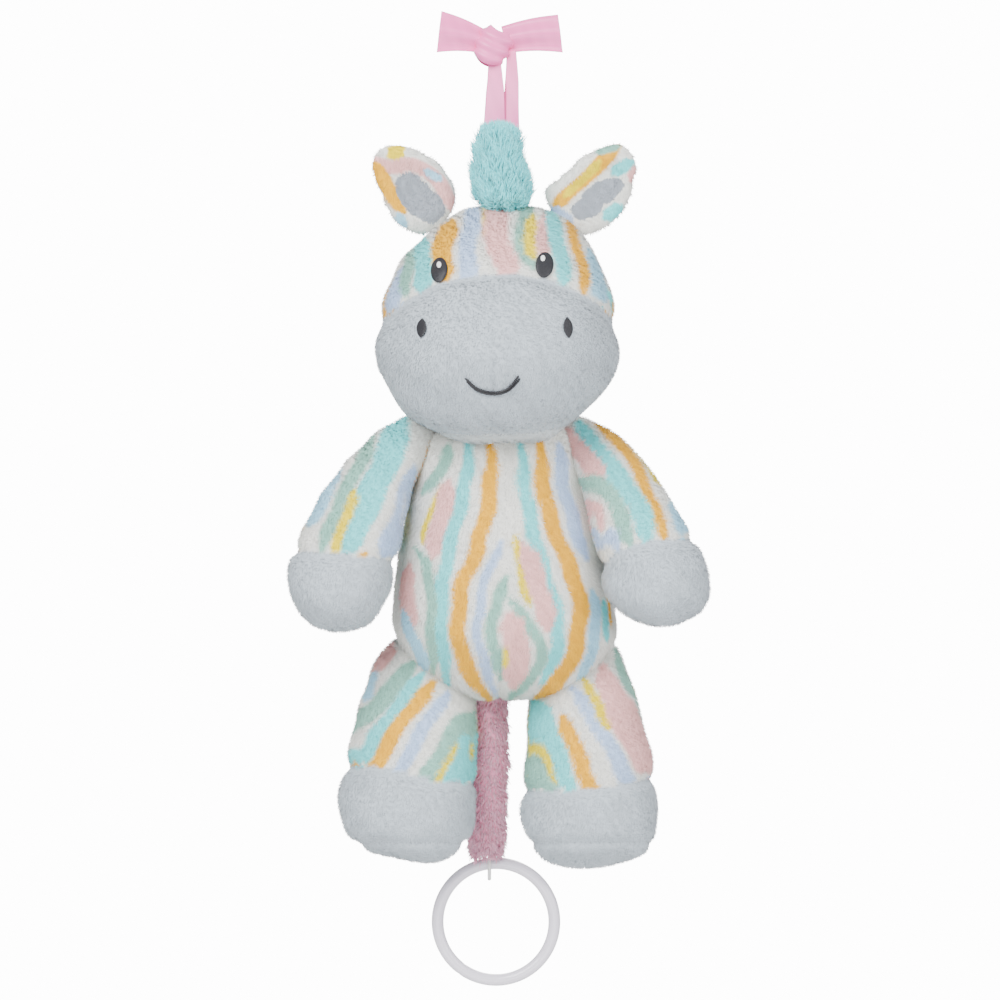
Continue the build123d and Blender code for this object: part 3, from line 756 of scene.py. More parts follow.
@dataclass
class PlushPart:
    """A stuffed part: its skin cut into sewn panels with pile, and the filling inside."""

    form: PlushForm
    cloth: PlushPrint
    body: str
    panels: dict[str, tuple[MASK, str]]
    filling: str
    pile: Pile
    seams: tuple[Seam, ...] = ()
    bald: MASK | None = None

    def build(self) -> bpy.types.Object:
        """Makes the skin with its seams pulled in.

        Returns:
            The whole skin, which the panels are cut from.
        """
        self.skin = self.form.build()
        points, normals = points_of(self.skin), normals_of(self.skin.data)
        lumps = 0.6 * np.sin(points[:, 0] * 0.21 + points[:, 2] * 0.13) * np.sin(points[:, 2] * 0.19 + 1)
        pull = sum((seam.depth * seam.pull(points) for seam in self.seams), np.zeros(len(points)))
        move_points(self.skin, points + (lumps - pull)[:, None] * normals)
        return self.skin

    def trim(self, roots: np.ndarray) -> np.ndarray:
        """The share of the pile's length left at each root."""
        left = np.ones(len(roots))
        for seam in self.seams:
            left *= 1 - 0.55 * seam.pull(roots)
        if self.bald:
            left[self.bald(roots)] = 0.12
        return left

    def dress(self, finish: "Finish", fill_finish: "Finish") -> None:
        """Cuts the panels, grows their pile and adds the filling.

        Args:
            finish: The plush's finish.
            fill_finish: The filling's finish.
        """
        mesh = self.skin.data
        mesh.calc_loop_triangles()
        points, normals = points_of(self.skin), normals_of(mesh)
        centres = np.empty(len(mesh.polygons) * 3)
        mesh.polygons.foreach_get("center", centres)
        centres = centres.reshape(-1, 3) / MM
        owner = np.full(len(centres), -1)
        for i, (mask, _) in enumerate(self.panels.values()):
            owner[(owner < 0) & mask(centres)] = i
        faces = [tuple(polygon.vertices) for polygon in mesh.polygons]
        for i, (name, (_, node)) in enumerate(self.panels.items()):
            chosen = [face for face, own in zip(faces, owner) if own == i]
            piece = self.panel(name, chosen, points, normals)
            finish.give(piece, "printed_plush")
            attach(piece, self.body)
            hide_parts(node)
            LOG.info("%s: %d faces", name, len(piece.data.polygons))
        if self.filling:
            self.fill(points, normals, fill_finish)
        else:
            bpy.data.objects.remove(self.skin)

    def panel(self, name: str, chosen: list[tuple[int, ...]], points: np.ndarray,
              normals: np.ndarray) -> bpy.types.Object:
        """Makes one panel with its pile.

        Args:
            name: The panel's name.
            chosen: The skin's faces in the panel, as point numbers.
            points: The skin's points in millimetres.
            normals: The skin's point normals.

        Returns:
            The panel.
        """
        used = sorted({corner for face in chosen for corner in face})
        number = {corner: i for i, corner in enumerate(used)}
        count = len(used)
        outer = [tuple(number[corner] for corner in face) for face in chosen]
        edges: dict[tuple[int, int], int] = {}
        for face in outer:
            for a, b in zip(face, face[1:] + face[:1]):
                edges[a, b] = 1
        rim = np.array([(b, a, a + count, b + count) for a, b in edges if (b, a) not in edges], int)
        rim = rim.reshape(-1, 4)
        quads, tris = with_corners(outer, 4), with_corners(outer, 3)
        top, normal = points[used], normals[used]
        split = np.vstack((quads[:, [0, 1, 2]], quads[:, [0, 2, 3]], tris))
        hairs, hair_faces, roots, hair_normals = self.pile.grow(top, normal, split, trim=self.trim)
        skin = np.vstack((top, top - CLOTH_THICK * normal))
        start = len(skin)
        everything = np.vstack((skin, hairs))
        blocks = [quads, tris, quads[:, ::-1] + count, tris[:, ::-1] + count, rim, hair_faces + start]
        hidden = [False, False, True, True, True, False]
        kept = [(block, dark) for block, dark in zip(blocks, hidden) if len(block)]
        piece = new_mesh(name, everything, [block for block, _ in kept])
        skin_colour = self.cloth.colours(top, normal)
        hair_colour = self.cloth.colours(roots, hair_normals)
        # Painted sheen: the hairs' colours are lightened and darkened in soft patches, as crushed pile
        # catches the light.
        painted_nap_sheen = np.sin(roots[:, 0] * 0.33 + 2 * np.sin(roots[:, 2] * 0.17))
        painted_nap_sheen = painted_nap_sheen * np.sin(roots[:, 2] * 0.29 + roots[:, 1] * 0.2)
        hair_colour = hair_colour * (1 + 0.09 * painted_nap_sheen)[:, None]
        # Painted shade: the hairs along each seam are darkened, as the seam's crease lies in shadow.
        for seam in self.seams:
            hair_colour *= 1 - 0.4 * seam.near(roots, 0.7)[:, None]
        # Painted shade and light: each hair's three root corners are darkened by root_shade and its tip is
        # lightened, and the skin between the hairs is darkened by root_shade as well.
        shade = np.array((self.pile.root_shade,) * 3 + (1.04,))
        # Painted shade: the cloth's hidden inner side is darkened to 0.85 of the print.
        colours = np.vstack((skin_colour * self.pile.root_shade, skin_colour * 0.85,
                             (hair_colour[:, None, :] * shade[None, :, None]).reshape(-1, 3)))
        paint(piece, np.clip(colours, 0, 1))
        facing = np.vstack((normal, -normal, np.repeat(hair_normals, 4, axis=0)))
        piece.data.normals_split_custom_set_from_vertices(facing.tolist())
        home = np.concatenate((np.arange(start), np.repeat(np.arange(len(roots)) * 4 + start, 4)))
        lay_cloth(piece, everything, [b for b, _ in kept], [d for _, d in kept], home, self.axis())
        return piece

    def axis(self) -> tuple[float, float]:
        """The upright axis that the cloth is laid out round."""
        points = points_of(self.skin)
        return float(points[:, 0].mean()), float(points[:, 1].mean())

    def fill(self, points: np.ndarray, normals: np.ndarray, finish: "Finish") -> None:
        """Makes the filling, a little smaller than the skin.

        Args:
            points: The skin's points in millimetres.
            normals: The skin's point normals.
            finish: The filling's finish.
        """
        filling = self.skin
        filling.name = self.filling + "_fill"
        fluff = 0.5 * np.sin(points[:, 0] * 0.9) * np.sin(points[:, 2] * 0.8 + points[:, 1] * 0.7)
        move_points(filling, points - (FILL_GAP + fluff)[:, None] * normals)
        paint(filling, np.tile(Dye.FILL.linear(), (len(points), 1)))
        finish.give(filling, "stuffing")
        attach(filling, self.body)
        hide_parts(self.filling)


def paint(obj: bpy.types.Object, colours: np.ndarray) -> None:
    """Stores a colour at each point as the Print attribute.

    Args:
        obj: The mesh object.
        colours: Linear colours, one row to a point.
    """
    layer = obj.data.attributes.new("Print", "FLOAT_COLOR", "POINT")
    layer.data.foreach_set("color", np.column_stack((colours, np.ones(len(colours)))).ravel())


def add_maths(nodes: bpy.types.Nodes, operation: str, number: int = 0, value: float = 0.0) -> bpy.types.Node:
    """Adds a maths node.

    Args:
        nodes: The nodes it joins.
        operation: What it works out.
        number: The input that is set.
        value: What that input is set to.

    Returns:
        The node.
    """
    node = nodes.new("ShaderNodeMath")
    node.operation = operation
    node.inputs[number].default_value = value
    return node


def add_grain_group() -> bpy.types.NodeTree:
    """Builds the fibre grain group.

    Returns:
        A node group with a Tint value near 1 and a Height for bump.
    """
    group = bpy.data.node_groups.new("Fibre grain", "ShaderNodeTree")
    face = group.interface
    face.new_socket("Scale", in_out="INPUT", socket_type="NodeSocketFloat").default_value = 900
    face.new_socket("Depth", in_out="INPUT", socket_type="NodeSocketFloat").default_value = 0.12
    face.new_socket("Tint", in_out="OUTPUT", socket_type="NodeSocketFloat")
    face.new_socket("Height", in_out="OUTPUT", socket_type="NodeSocketFloat")
    nodes, links = group.nodes, group.links
    entry, leave = nodes.new("NodeGroupInput"), nodes.new("NodeGroupOutput")
    place = nodes.new("ShaderNodeTexCoord")
    fine, broad = nodes.new("ShaderNodeTexNoise"), nodes.new("ShaderNodeTexNoise")
    fine.inputs["Detail"].default_value = 3
    broad.inputs["Scale"].default_value = 60
    links.new(place.outputs["Object"], fine.inputs["Vector"])
    links.new(place.outputs["Object"], broad.inputs["Vector"])
    links.new(entry.outputs["Scale"], fine.inputs["Scale"])
    both = add_maths(nodes, "ADD")
    links.new(fine.outputs["Fac"], both.inputs[0])
    links.new(broad.outputs["Fac"], both.inputs[1])
    centred = add_maths(nodes, "SUBTRACT", 1, 1)
    links.new(both.outputs[0], centred.inputs[0])
    scaled = add_maths(nodes, "MULTIPLY_ADD", 2, 1)
    links.new(centred.outputs[0], scaled.inputs[0])
    links.new(entry.outputs["Depth"], scaled.inputs[1])
    links.new(scaled.outputs[0], leave.inputs["Tint"])
    links.new(fine.outputs["Fac"], leave.inputs["Height"])
    return group


def grain_group() -> bpy.types.NodeTree:
    """The fibre grain group, built once."""
    return bpy.data.node_groups.get("Fibre grain") or add_grain_group()


@dataclass(frozen=True)
class Finish:
    """A surface finish: a grained colour, or the stored print, on one principled shader."""

    name: str
    rgb: tuple[float, float, float] = (0.8, 0.8, 0.8)
    printed: bool = False
    roughness: float = 0.5
    metallic: float = 0.0
    sheen: float = 0.0
    coat: float = 0.0
    scale: float = 900.0
    depth: float = 0.12
    bump: float = 0.1
    anisotropy: float = 0.0

    def material(self) -> bpy.types.Material:
        """Builds the finish's material, once.

        Returns:
            The material.
        """
        known = bpy.data.materials.get(self.name)
        if known:
            return known
        material = bpy.data.materials.new(self.name)
        material.use_nodes = True
        nodes, links = material.node_tree.nodes, material.node_tree.links
        shader = nodes["Principled BSDF"]
        grain = nodes.new("ShaderNodeGroup")
        grain.node_tree = grain_group()
        grain.inputs["Scale"].default_value = self.scale
        grain.inputs["Depth"].default_value = self.depth
        tinted = nodes.new("ShaderNodeMix")
        tinted.data_type, tinted.blend_type = "RGBA", "MULTIPLY"
        tinted.inputs["Factor"].default_value = 1
        tinted.inputs[6].default_value = (*self.rgb, 1)
        if self.printed:
            dye = nodes.new("ShaderNodeAttribute")
            dye.attribute_name = "Print"
            links.new(dye.outputs["Color"], tinted.inputs[6])
        links.new(grain.outputs["Tint"], tinted.inputs[7])
        links.new(tinted.outputs[2], shader.inputs["Base Color"])
        rough = add_maths(nodes, "MULTIPLY", 1, self.roughness)
        rough.use_clamp = True
        links.new(grain.outputs["Tint"], rough.inputs[0])
        links.new(rough.outputs[0], shader.inputs["Roughness"])
        bump = nodes.new("ShaderNodeBump")
        bump.inputs["Strength"].default_value = self.bump
        bump.inputs["Distance"].default_value = 0.0002
        links.new(grain.outputs["Height"], bump.inputs["Height"])
        links.new(bump.outputs["Normal"], shader.inputs["Normal"])
        shader.inputs["Metallic"].default_value = self.metallic
        shader.inputs["Sheen Weight"].default_value = self.sheen
        shader.inputs["Sheen Roughness"].default_value = 0.4
        shader.inputs["Coat Weight"].default_value = self.coat
        shader.inputs["Coat Roughness"].default_value = 0.12
        shader.inputs["Anisotropic"].default_value = self.anisotropy
        return material

    def give(self, obj: bpy.types.Object, slot: str | None = None) -> None:
        """Puts the finish on a piece.

        Args:
            obj: The piece.
            slot: Not used.
        """
        obj.data.materials.clear()
        obj.data.materials.append(self.material())


PLUSH = Finish("Printed plush", printed=True, roughness=0.95, sheen=0.15, scale=1500, depth=0.08, bump=0.1)
FLUFF = Finish("Polyester filling", printed=True, roughness=1.0, sheen=0.2, scale=700, depth=0.2, bump=0.6)
LONG_FUR = Finish("Long pile fur", printed=True, roughness=0.75, sheen=0.3, scale=1200, depth=0.18, bump=0.2)
SATIN = Finish("Pink satin", printed=True, roughness=0.34, sheen=0.3, scale=2600, depth=0.07, bump=0.12,
               anisotropy=0.5)
DARK_THREAD = Finish("Charcoal thread", (0.010, 0.010, 0.014), roughness=0.5, sheen=0.02, scale=2500,
                     depth=0.5, bump=0.4)
WHITE_THREAD = Finish("White thread", (0.9, 0.9, 0.88), roughness=0.4, sheen=0.2, scale=2500, depth=0.1,
                      bump=0.3)
RING_PLASTIC = Finish("Pearl ring plastic", (0.77, 0.73, 0.82), roughness=0.2, coat=0.6, scale=180,
                      depth=0.05, bump=0.03)
CORD_FIBRE = Finish("Braided cord", (0.86, 0.86, 0.84), roughness=0.7, sheen=0.2, scale=2200, depth=0.2,
                    bump=0.5)
CASE_PLASTIC = Finish("Case plastic", (0.80, 0.80, 0.79), roughness=0.45, scale=1400, depth=0.08, bump=0.25)
GEAR_PLASTIC = Finish("Gear plastic", (0.78, 0.76, 0.66), roughness=0.35, scale=600, depth=0.08, bump=0.08)
STEEL = Finish("Bright steel", (0.58, 0.59, 0.61), roughness=0.3, metallic=1.0, scale=1800, depth=0.1,
               bump=0.12)
BRASS = Finish("Stamped brass", (0.72, 0.53, 0.24), roughness=0.3, metallic=1.0, scale=1500, depth=0.12,
               bump=0.1)
BY_SLOT = {"case_plastic": CASE_PLASTIC, "gear_plastic": GEAR_PLASTIC, "steel": STEEL, "brass": BRASS,
           "cord": CORD_FIBRE, "ring_plastic": RING_PLASTIC, "stuffing": FLUFF, "printed_plush": PLUSH,
           "grey_plush": PLUSH, "satin_ribbon": SATIN, "dark_thread": DARK_THREAD,
           "white_thread": WHITE_THREAD, "aqua_fur": LONG_FUR, "pink_fur": LONG_FUR}


def edge_reach(edge: tuple[tuple[float, float], ...], centre: np.ndarray, angle: np.ndarray) -> np.ndarray:
    """How far a closed outline is from its centre.

    Args:
        edge: The outline's corners in x and z.
        centre: The centre in x and z.
        angle: The directions to look in, in radians.

    Returns:
        The distance in each direction.
    """
    spokes = np.array(edge) - centre
    turn = np.arctan2(spokes[:, 1], spokes[:, 0])
    order = np.argsort(turn)
    return np.interp(angle, turn[order], np.hypot(spokes[:, 0], spokes[:, 1])[order], period=2 * math.pi)


@dataclass
class Ear:
    """A leaf-shaped ear with a hollowed grey lining and a folded printed rim."""

    side: str
    edge: tuple[tuple[float, float], ...]
    lining: tuple[tuple[float, float], ...]
    stripes: tuple[Stripe, ...]
    depth: float = 10.0
    forward: float = -7.0
    inset: float = 1.6
    dip: float = 4.2

    def build(self) -> bpy.types.Object:
        """Shapes the ear from a ball laid on its side.

        Returns:
            The ear's skin.
        """
        clear_selection()
        bpy.ops.mesh.primitive_uv_sphere_add(segments=72, ring_count=44, radius=1)
        self.skin = bpy.context.object
        self.skin.name = f"ear_{self.side}_skin"
        ball = points_of(self.skin) * MM
        centre = np.mean(np.array(self.edge), axis=0)
        angle = np.arctan2(ball[:, 1], ball[:, 0])
        flat = np.hypot(ball[:, 0], ball[:, 1])
        reach = (edge_reach(self.edge, centre, angle) - self.inset) * flat ** 1.15
        x, z = centre[0] + reach * np.cos(angle), centre[1] + reach * np.sin(angle)
        front = ball[:, 2] < 0
        y = self.forward + ball[:, 2] * (self.depth / 2 - 0.6)
        hollow = np.exp(-(flat / 0.62) ** 4)
        y = y + np.where(front, self.dip * hollow, 0)
        move_points(self.skin, np.column_stack((x, y, z)))
        turn_out(self.skin)
        round_off = self.skin.modifiers.new("Round", "SUBSURF")
        round_off.levels = round_off.render_levels = 1
        apply_modifiers(self.skin)
        return self.skin

    def is_lining(self, points: np.ndarray) -> np.ndarray:
        """Which points lie in the lining, in front and inside its outline."""
        centre = np.mean(np.array(self.lining), axis=0)
        d = points[:, [0, 2]] - centre
        inside = np.hypot(d[:, 0], d[:, 1]) < edge_reach(self.lining, centre, np.arctan2(d[:, 1], d[:, 0]))
        return inside & (points[:, 1] < self.forward)

    def part(self, pile: Pile) -> PlushPart:
        """Describes the ear as a plush part with two panels.

        Args:
            pile: The ear's pile.

        Returns:
            The part, its skin already built.
        """
        middle = float(np.mean(np.array(self.edge)[:, 0]))
        form = PlushForm(f"ear_{self.side}", ())
        cloth = PlushPrint(self.stripes, middle, self.is_lining, plain=Dye.LINING)
        panels = {f"ear_{self.side}_inside": (self.is_lining, f"ear_{self.side}_lining"),
                  f"ear_{self.side}_shell": (everywhere, f"ear_{self.side}_outer")}
        part = PlushPart(form, cloth, f"ear_{self.side}", panels, "", pile)
        part.skin = self.build()
        return part


def everywhere(points: np.ndarray) -> np.ndarray:
    """A mask that takes every point."""
    return np.ones(len(points), bool)


@dataclass(frozen=True)
class Tress:
    """One kind of long fur: how many hairs, how long and wide, and their two dyes."""

    count: int
    short: float
    long: float
    width: float
    light: Dye
    dark: Dye
    seed: int

    def grow(self, roots: np.ndarray, start: np.ndarray, finish: np.ndarray, length: np.ndarray
             ) -> tuple[np.ndarray, np.ndarray]:
        """Grows curved, tapering hairs of three flat sides.

        Args:
            roots: The roots in millimetres.
            start: The unit way each hair leaves its root.
            finish: The unit way each hair's tip points.
            length: Each hair's length.

        Returns:
            The hairs' points and faces.
        """
        side = unit(np.cross(start, finish + 0.01), 1e-9)
        back = np.cross(side, start)
        rings = []
        spot = roots.copy()
        for i, thick in enumerate((1.0, 0.85, 0.5)):
            way = unit(start * (1 - i / 2) + finish * i / 2)
            half = self.width / 2 * thick
            rings += [spot + side * half, spot - side * half, spot + back * half * 1.3]
            spot = spot + way * (length / 3)[:, None]
        rings.append(spot)
        hairs = np.stack(rings, axis=1)
        band = [(a + r, b + r, b + r + 3, a + r + 3) for r in (0, 3) for a, b in ((0, 1), (1, 2), (2, 0))]
        tris = [(a, b, c) for face in band for a, b, c in (face[:3], (face[0], face[2], face[3]))]
        tris += [(6, 7, 9), (7, 8, 9), (8, 6, 9), (0, 2, 1)]
        corners = np.array(tris)
        faces = (np.arange(len(roots))[:, None, None] * 10 + corners).reshape(-1, 3)
        first = hairs[0]
        inside = first.mean(axis=0)
        a, b, c = first[list(tris[0])]
        if np.dot(np.cross(b - a, c - a), (a + b + c) / 3 - inside) < 0:
            faces = faces[:, ::-1]
        return hairs.reshape(-1, 3), faces


def join_fur(name: str, skin: bpy.types.Object, tress: Tress, hairs: np.ndarray, hair_faces: np.ndarray,
             axis: tuple[float, float]) -> bpy.types.Object:
    """Joins a closed skin and its long hairs in one piece.

    Args:
        name: The piece's name.
        skin: The skin, which is used up.
        tress: The hairs' kind.
        hairs: The hairs' points, ten to a hair.
        hair_faces: The hairs' faces.
        axis: The upright axis the cloth is laid out round.

    Returns:
        The piece.
    """
    rng = np.random.default_rng(tress.seed)
    points = points_of(skin)
    faces = [tuple(polygon.vertices) for polygon in skin.data.polygons]
    start, count = len(points), len(hairs) // 10
    blocks = [with_corners(faces, 4), with_corners(faces, 3), hair_faces + start]
    blocks = [block for block in blocks if len(block)]
    everything = np.vstack((points, hairs))
    piece = new_mesh(name, everything, blocks)
    mix = np.clip(rng.normal(0.65, 0.25, count), 0, 1)[:, None, None]
    # Painted shade and light: each hair is darkened towards its root and lightened towards its tip.
    depth = np.array((0.85,) * 3 + (0.96,) * 3 + (1.06,) * 3 + (1.12,))[None, :, None]
    shade = (tress.dark.linear() * (1 - mix) + tress.light.linear() * mix) * depth
    paint(piece, np.clip(np.vstack((np.tile(tress.dark.linear(), (start, 1)), shade.reshape(-1, 3))), 0, 1))
    home = np.concatenate((np.arange(start), np.repeat(np.arange(count) * 10 + start, 10)))
    lay_cloth(piece, everything, blocks, [False] * len(blocks), home, axis)
    LONG_FUR.give(piece)
    bpy.data.objects.remove(skin)
    return piece


@dataclass
class Crest:
    """The shaggy tuft on the crown."""

    levels: tuple[LEVEL, ...] = ((-27, -1, -1, -14.5, -14.5), (-29, -6, 4, -19, -10), (-35, -8.5, 7, -22, -8),
                                 (-43, -9.5, 8.5, -25, -6), (-50, -10, 10, -26, -5), (-57, -9.5, 12, -26, -5),
                                 (-62, -6, 10, -23, -8), (-64, 1, 1, -15, -15))
    tress: Tress = Tress(9000, 3.5, 6.5, 0.5, Dye.TEAL, Dye.AQUA, 21)

    def build(self) -> None:
        """Makes the tuft and its hairs, which sweep upwards."""
        skin = PlushForm("crest", self.levels, inset=0, swell=0.5, voxel=3).build()
        points, normals = points_of(skin), normals_of(skin.data)
        rng = np.random.default_rng(self.tress.seed)
        pick = rng.integers(0, len(points), self.tress.count)
        roots = points[pick] + rng.normal(0, 0.5, (self.tress.count, 3))
        clump = np.column_stack((np.sin(roots[:, 0] * 0.9 + roots[:, 2] * 0.5), np.sin(roots[:, 2] * 0.7 + 2),
                                 0.3 * np.sin(roots[:, 0] * 0.8)))
        start = 0.8 * normals[pick] + 0.6 * UP + 0.3 * clump + 0.2 * rng.standard_normal((len(pick), 3))
        finish = np.column_stack((-0.03 * roots[:, 0], np.zeros(len(pick)), np.ones(len(pick)))) \
            + 0.35 * clump + 0.25 * rng.standard_normal((len(pick), 3)) + 0.35 * normals[pick]
        length = rng.uniform(self.tress.short, self.tress.long, len(pick))
        length *= np.clip((-20 - roots[:, 2]) / 14, 0.35, 1)
        hairs, faces = self.tress.grow(roots, unit(start), unit(finish), length)
        piece = join_fur("crest_fur", skin, self.tress, hairs, faces, (0.5, -15))
        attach(piece, "head")
        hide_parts("mane_crest")


@dataclass
class Tail:
    """The long-pile tail, a soft tube round the pull cord."""

    x: float = -4.5
    y: float = 13.0
    top: float = -259.5
    end: float = -331.5
    bore: float = 1.6
    tress: Tress = Tress(11000, 2.0, 3.6, 0.5, Dye.ROSE, Dye.DUSTY, 33)

    def build(self) -> None:
        """Makes the tube from a ring, then its hairs, which hang down."""
        clear_selection()
        bpy.ops.mesh.primitive_torus_add(major_segments=48, minor_segments=72, major_radius=2, minor_radius=1)
        skin = bpy.context.object
        ring = points_of(skin) * MM
        reach = np.hypot(ring[:, 0], ring[:, 1])
        turn, roll = np.arctan2(ring[:, 1], ring[:, 0]), np.arctan2(ring[:, 2], reach - 2)
        span = self.top - self.end
        height = np.clip(0.5 + 0.62 * np.sin(roll), 0, 1)
        z = self.end + span * height
        lumps = 0.45 * np.sin(z * 0.42) + 0.3 * np.sin(z * 0.23 + turn * 2)
        belly = 6.2 + 1.2 * np.sin(math.pi * np.clip((self.top - z) / span, 0, 1)) + lumps
        outside = np.clip(0.5 + 1.4 * np.cos(roll), 0, 1)
        radius = self.bore + (belly - self.bore) * outside
        sway = -1.2 * np.clip((self.top - z) / span, 0, 1)
        x, y = self.x + sway + radius * np.cos(turn), self.y + radius * np.sin(turn)
        move_points(skin, np.column_stack((x, y, z)))
        points, normals = points_of(skin), normals_of(skin.data)
        rng = np.random.default_rng(self.tress.seed)
        outer = np.flatnonzero(outside > 0.9)
        pick = rng.choice(outer, self.tress.count)
        roots = points[pick] + rng.normal(0, 0.4, (len(pick), 3)) * (1, 1, 4)
        clump = np.column_stack((np.sin(roots[:, 2] * 0.9 + roots[:, 0]), np.sin(roots[:, 2] * 0.8 + 1),
                                 np.zeros(len(pick))))
        start = 0.75 * normals[pick] - 0.6 * UP + 0.25 * clump + 0.25 * rng.standard_normal((len(pick), 3))
        finish = -UP + 0.3 * normals[pick] + 0.3 * clump + 0.25 * rng.standard_normal((len(pick), 3))
        length = rng.uniform(self.tress.short, self.tress.long, len(pick))
        hairs, faces = self.tress.grow(roots, unit(start), unit(finish), length)
        piece = join_fur("tail_fur", skin, self.tress, hairs, faces, (self.x, self.y))
        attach(piece, "tail")
        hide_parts("tail_tube")


@dataclass
class Embroidery:
    """The face's sewn features, laid on the head's skin."""

    head: bpy.types.Object
    lift: float = 0.9

    def __post_init__(self) -> None:
        """Reads the head's skin for laying stitches on it."""
        mesh = self.head.data
        mesh.calc_loop_triangles()
        self.tree = BVHTree.FromPolygons([v.co / MM for v in mesh.vertices],
                                         [tuple(t.vertices) for t in mesh.loop_triangles])

    def spot(self, x: float, z: float) -> Vector:
        """The face's skin where it is seen at one x and z of the toy's middle plane."""
        eye = Vector((0, -EYE_DISTANCE, EYE_HEIGHT))
        hit = self.tree.ray_cast(eye, (Vector((x, 0, z)) - eye).normalized())[0]
        return hit or Vector((x, -60, z))

    def oval(self, name: str, x: float, z: float, wide: float, tall: float, tilt: float, point: float,
             crown: float, lift: float, pitch: float = 0.55) -> bpy.types.Object:
        """Sews one satin-stitched oval of raised threads.

        Args:
            name: The piece's name.
            x: The middle's x.
            z: The middle's z.
            wide: Its width.
            tall: Its height.
            tilt: Its turn in degrees.
            point: How pointed its ends are; 0.5 is an ellipse.
            crown: How far its middle stands proud.
            lift: How far its rim stands off the skin.
            pitch: The spacing of its threads.

        Returns:
            The oval, a closed pad.
        """
        clear_selection()
        rows, columns = int(tall / pitch) * 6, 22
        bpy.ops.mesh.primitive_grid_add(x_subdivisions=columns, y_subdivisions=rows, size=2)
        obj = bpy.context.object
        obj.name = name
        grid = points_of(obj) * MM
        u, v = np.clip(grid[:, 0], -1, 1), np.clip(grid[:, 1], -0.999, 0.999)
        half = wide / 2 * (1 - v * v) ** point
        turn = math.radians(tilt)
        px = x + u * half * math.cos(turn) - v * tall / 2 * math.sin(turn)
        pz = z + u * half * math.sin(turn) + v * tall / 2 * math.cos(turn)
        ground = np.array([self.spot(a, b) for a, b in zip(px, pz)])
        dome = np.clip(1 - u * u, 0, 1) ** 0.35 * np.clip(1 - v * v, 0, 1) ** 0.35
        ribs = 0.16 * np.abs(np.sin(math.pi * (v * tall / 2 + u * 0.5) / pitch))
        rise = lift + dome * (crown + ribs)
        move_points(obj, ground - rise[:, None] * (0, 1, 0))
        self.close(obj, 0.7)
        return obj

    def close(self, obj: bpy.types.Object, thick: float) -> None:
        """Gives a sewn sheet its thickness towards the skin and smooth shading.

        Args:
            obj: The sheet.
            thick: Its thickness.
        """
        select_only(obj)
        if sum(polygon.normal.y for polygon in obj.data.polygons) > 0:
            obj.data.flip_normals()
        wall = obj.modifiers.new("Wall", "SOLIDIFY")
        wall.thickness, wall.offset = thick * MM, -1
        apply_modifiers(obj)
        bpy.ops.object.shade_smooth_by_angle(angle=math.radians(60))

    def stitches(self, name: str, paths: tuple[tuple[tuple[float, float], ...], ...], thick: float
                 ) -> bpy.types.Object:
        """Sews rows of short overlapping stitches along lines.

        Args:
            name: The piece's name.
            paths: The lines, in x and z.
            thick: The thread's thickness.

        Returns:
            The joined stitches.
        """
        parts = []
        for path in paths:
            line = rounded(path)
            gone = np.concatenate(((0,), np.cumsum(np.linalg.norm(np.diff(line, axis=0), axis=1))))
            for at in np.arange(0.4, gone[-1], 0.75):
                x, z = (float(np.interp(at, gone, line[:, i])) for i in (0, 1))
                ahead = [float(np.interp(at + 0.4, gone, line[:, i])) for i in (0, 1)]
                turn = math.atan2(ahead[1] - z, ahead[0] - x)
                clear_selection()
                bpy.ops.mesh.primitive_uv_sphere_add(segments=10, ring_count=6, radius=1)
                stitch = bpy.context.object
                ball = points_of(stitch) * MM * (1.0, thick / 2, thick / 2)
                slant = turn + 0.28
                at_skin = self.spot(x, z)
                px = at_skin.x + ball[:, 0] * math.cos(slant) - ball[:, 2] * math.sin(slant)
                pz = at_skin.z + ball[:, 0] * math.sin(slant) + ball[:, 2] * math.cos(slant)
                move_points(stitch, np.column_stack((px, at_skin.y - 1.5 + ball[:, 1], pz)))
                parts.append(stitch)
        joined = join(name, parts)
        bpy.ops.object.shade_smooth()
        return joined

    def build(self) -> None:
        """Sews the eyes, their glints, the nostrils and the mouth."""
        left = self.oval("eye_left_stitching", *EYE_LEFT, 7.6, 10.8, -4, 0.5, 1.0, self.lift)
        right = self.oval("eye_right_stitching", *EYE_RIGHT, 7.0, 10.6, -7, 0.5, 1.0, self.lift)
        glints = [self.oval("glint", x, z, 1.9, 2.6, 0, 0.5, 0.4, self.lift + 1.05, 0.4)
                  for x, z in ((18.0, -81.7), (-25.6, -84.4))]
        noses = (self.oval("nostril_left_stitching", *NOSTRIL_LEFT, 4.0, 8.8, 6, 0.8, 0.5, self.lift),
                 self.oval("nostril_right_stitching", *NOSTRIL_RIGHT, 4.2, 8.2, -6, 0.8, 0.5, self.lift))
        glint = join("glint_stitching", glints)
        smile = self.stitches("mouth_threads", (
            ((-14.3, -132.3), (-10, -136.6), (-3, -138.4), (3.5, -137), (7.6, -131.5)),
            ((-13.6, -133.6), (-10, -137.4), (-3, -139.2), (3.6, -137.8), (8.2, -132.6))), 0.85)
        for piece, node in ((left, "eye_left"), (right, "eye_right"), (noses[0], "nostril_left"),
                            (noses[1], "nostril_right"), (smile, "mouth_stitching")):
            DARK_THREAD.give(piece, "dark_thread")
            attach(piece, "head")
            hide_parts(node)
        WHITE_THREAD.give(glint, "white_thread")
        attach(glint, "head")
        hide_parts("eye_glints")


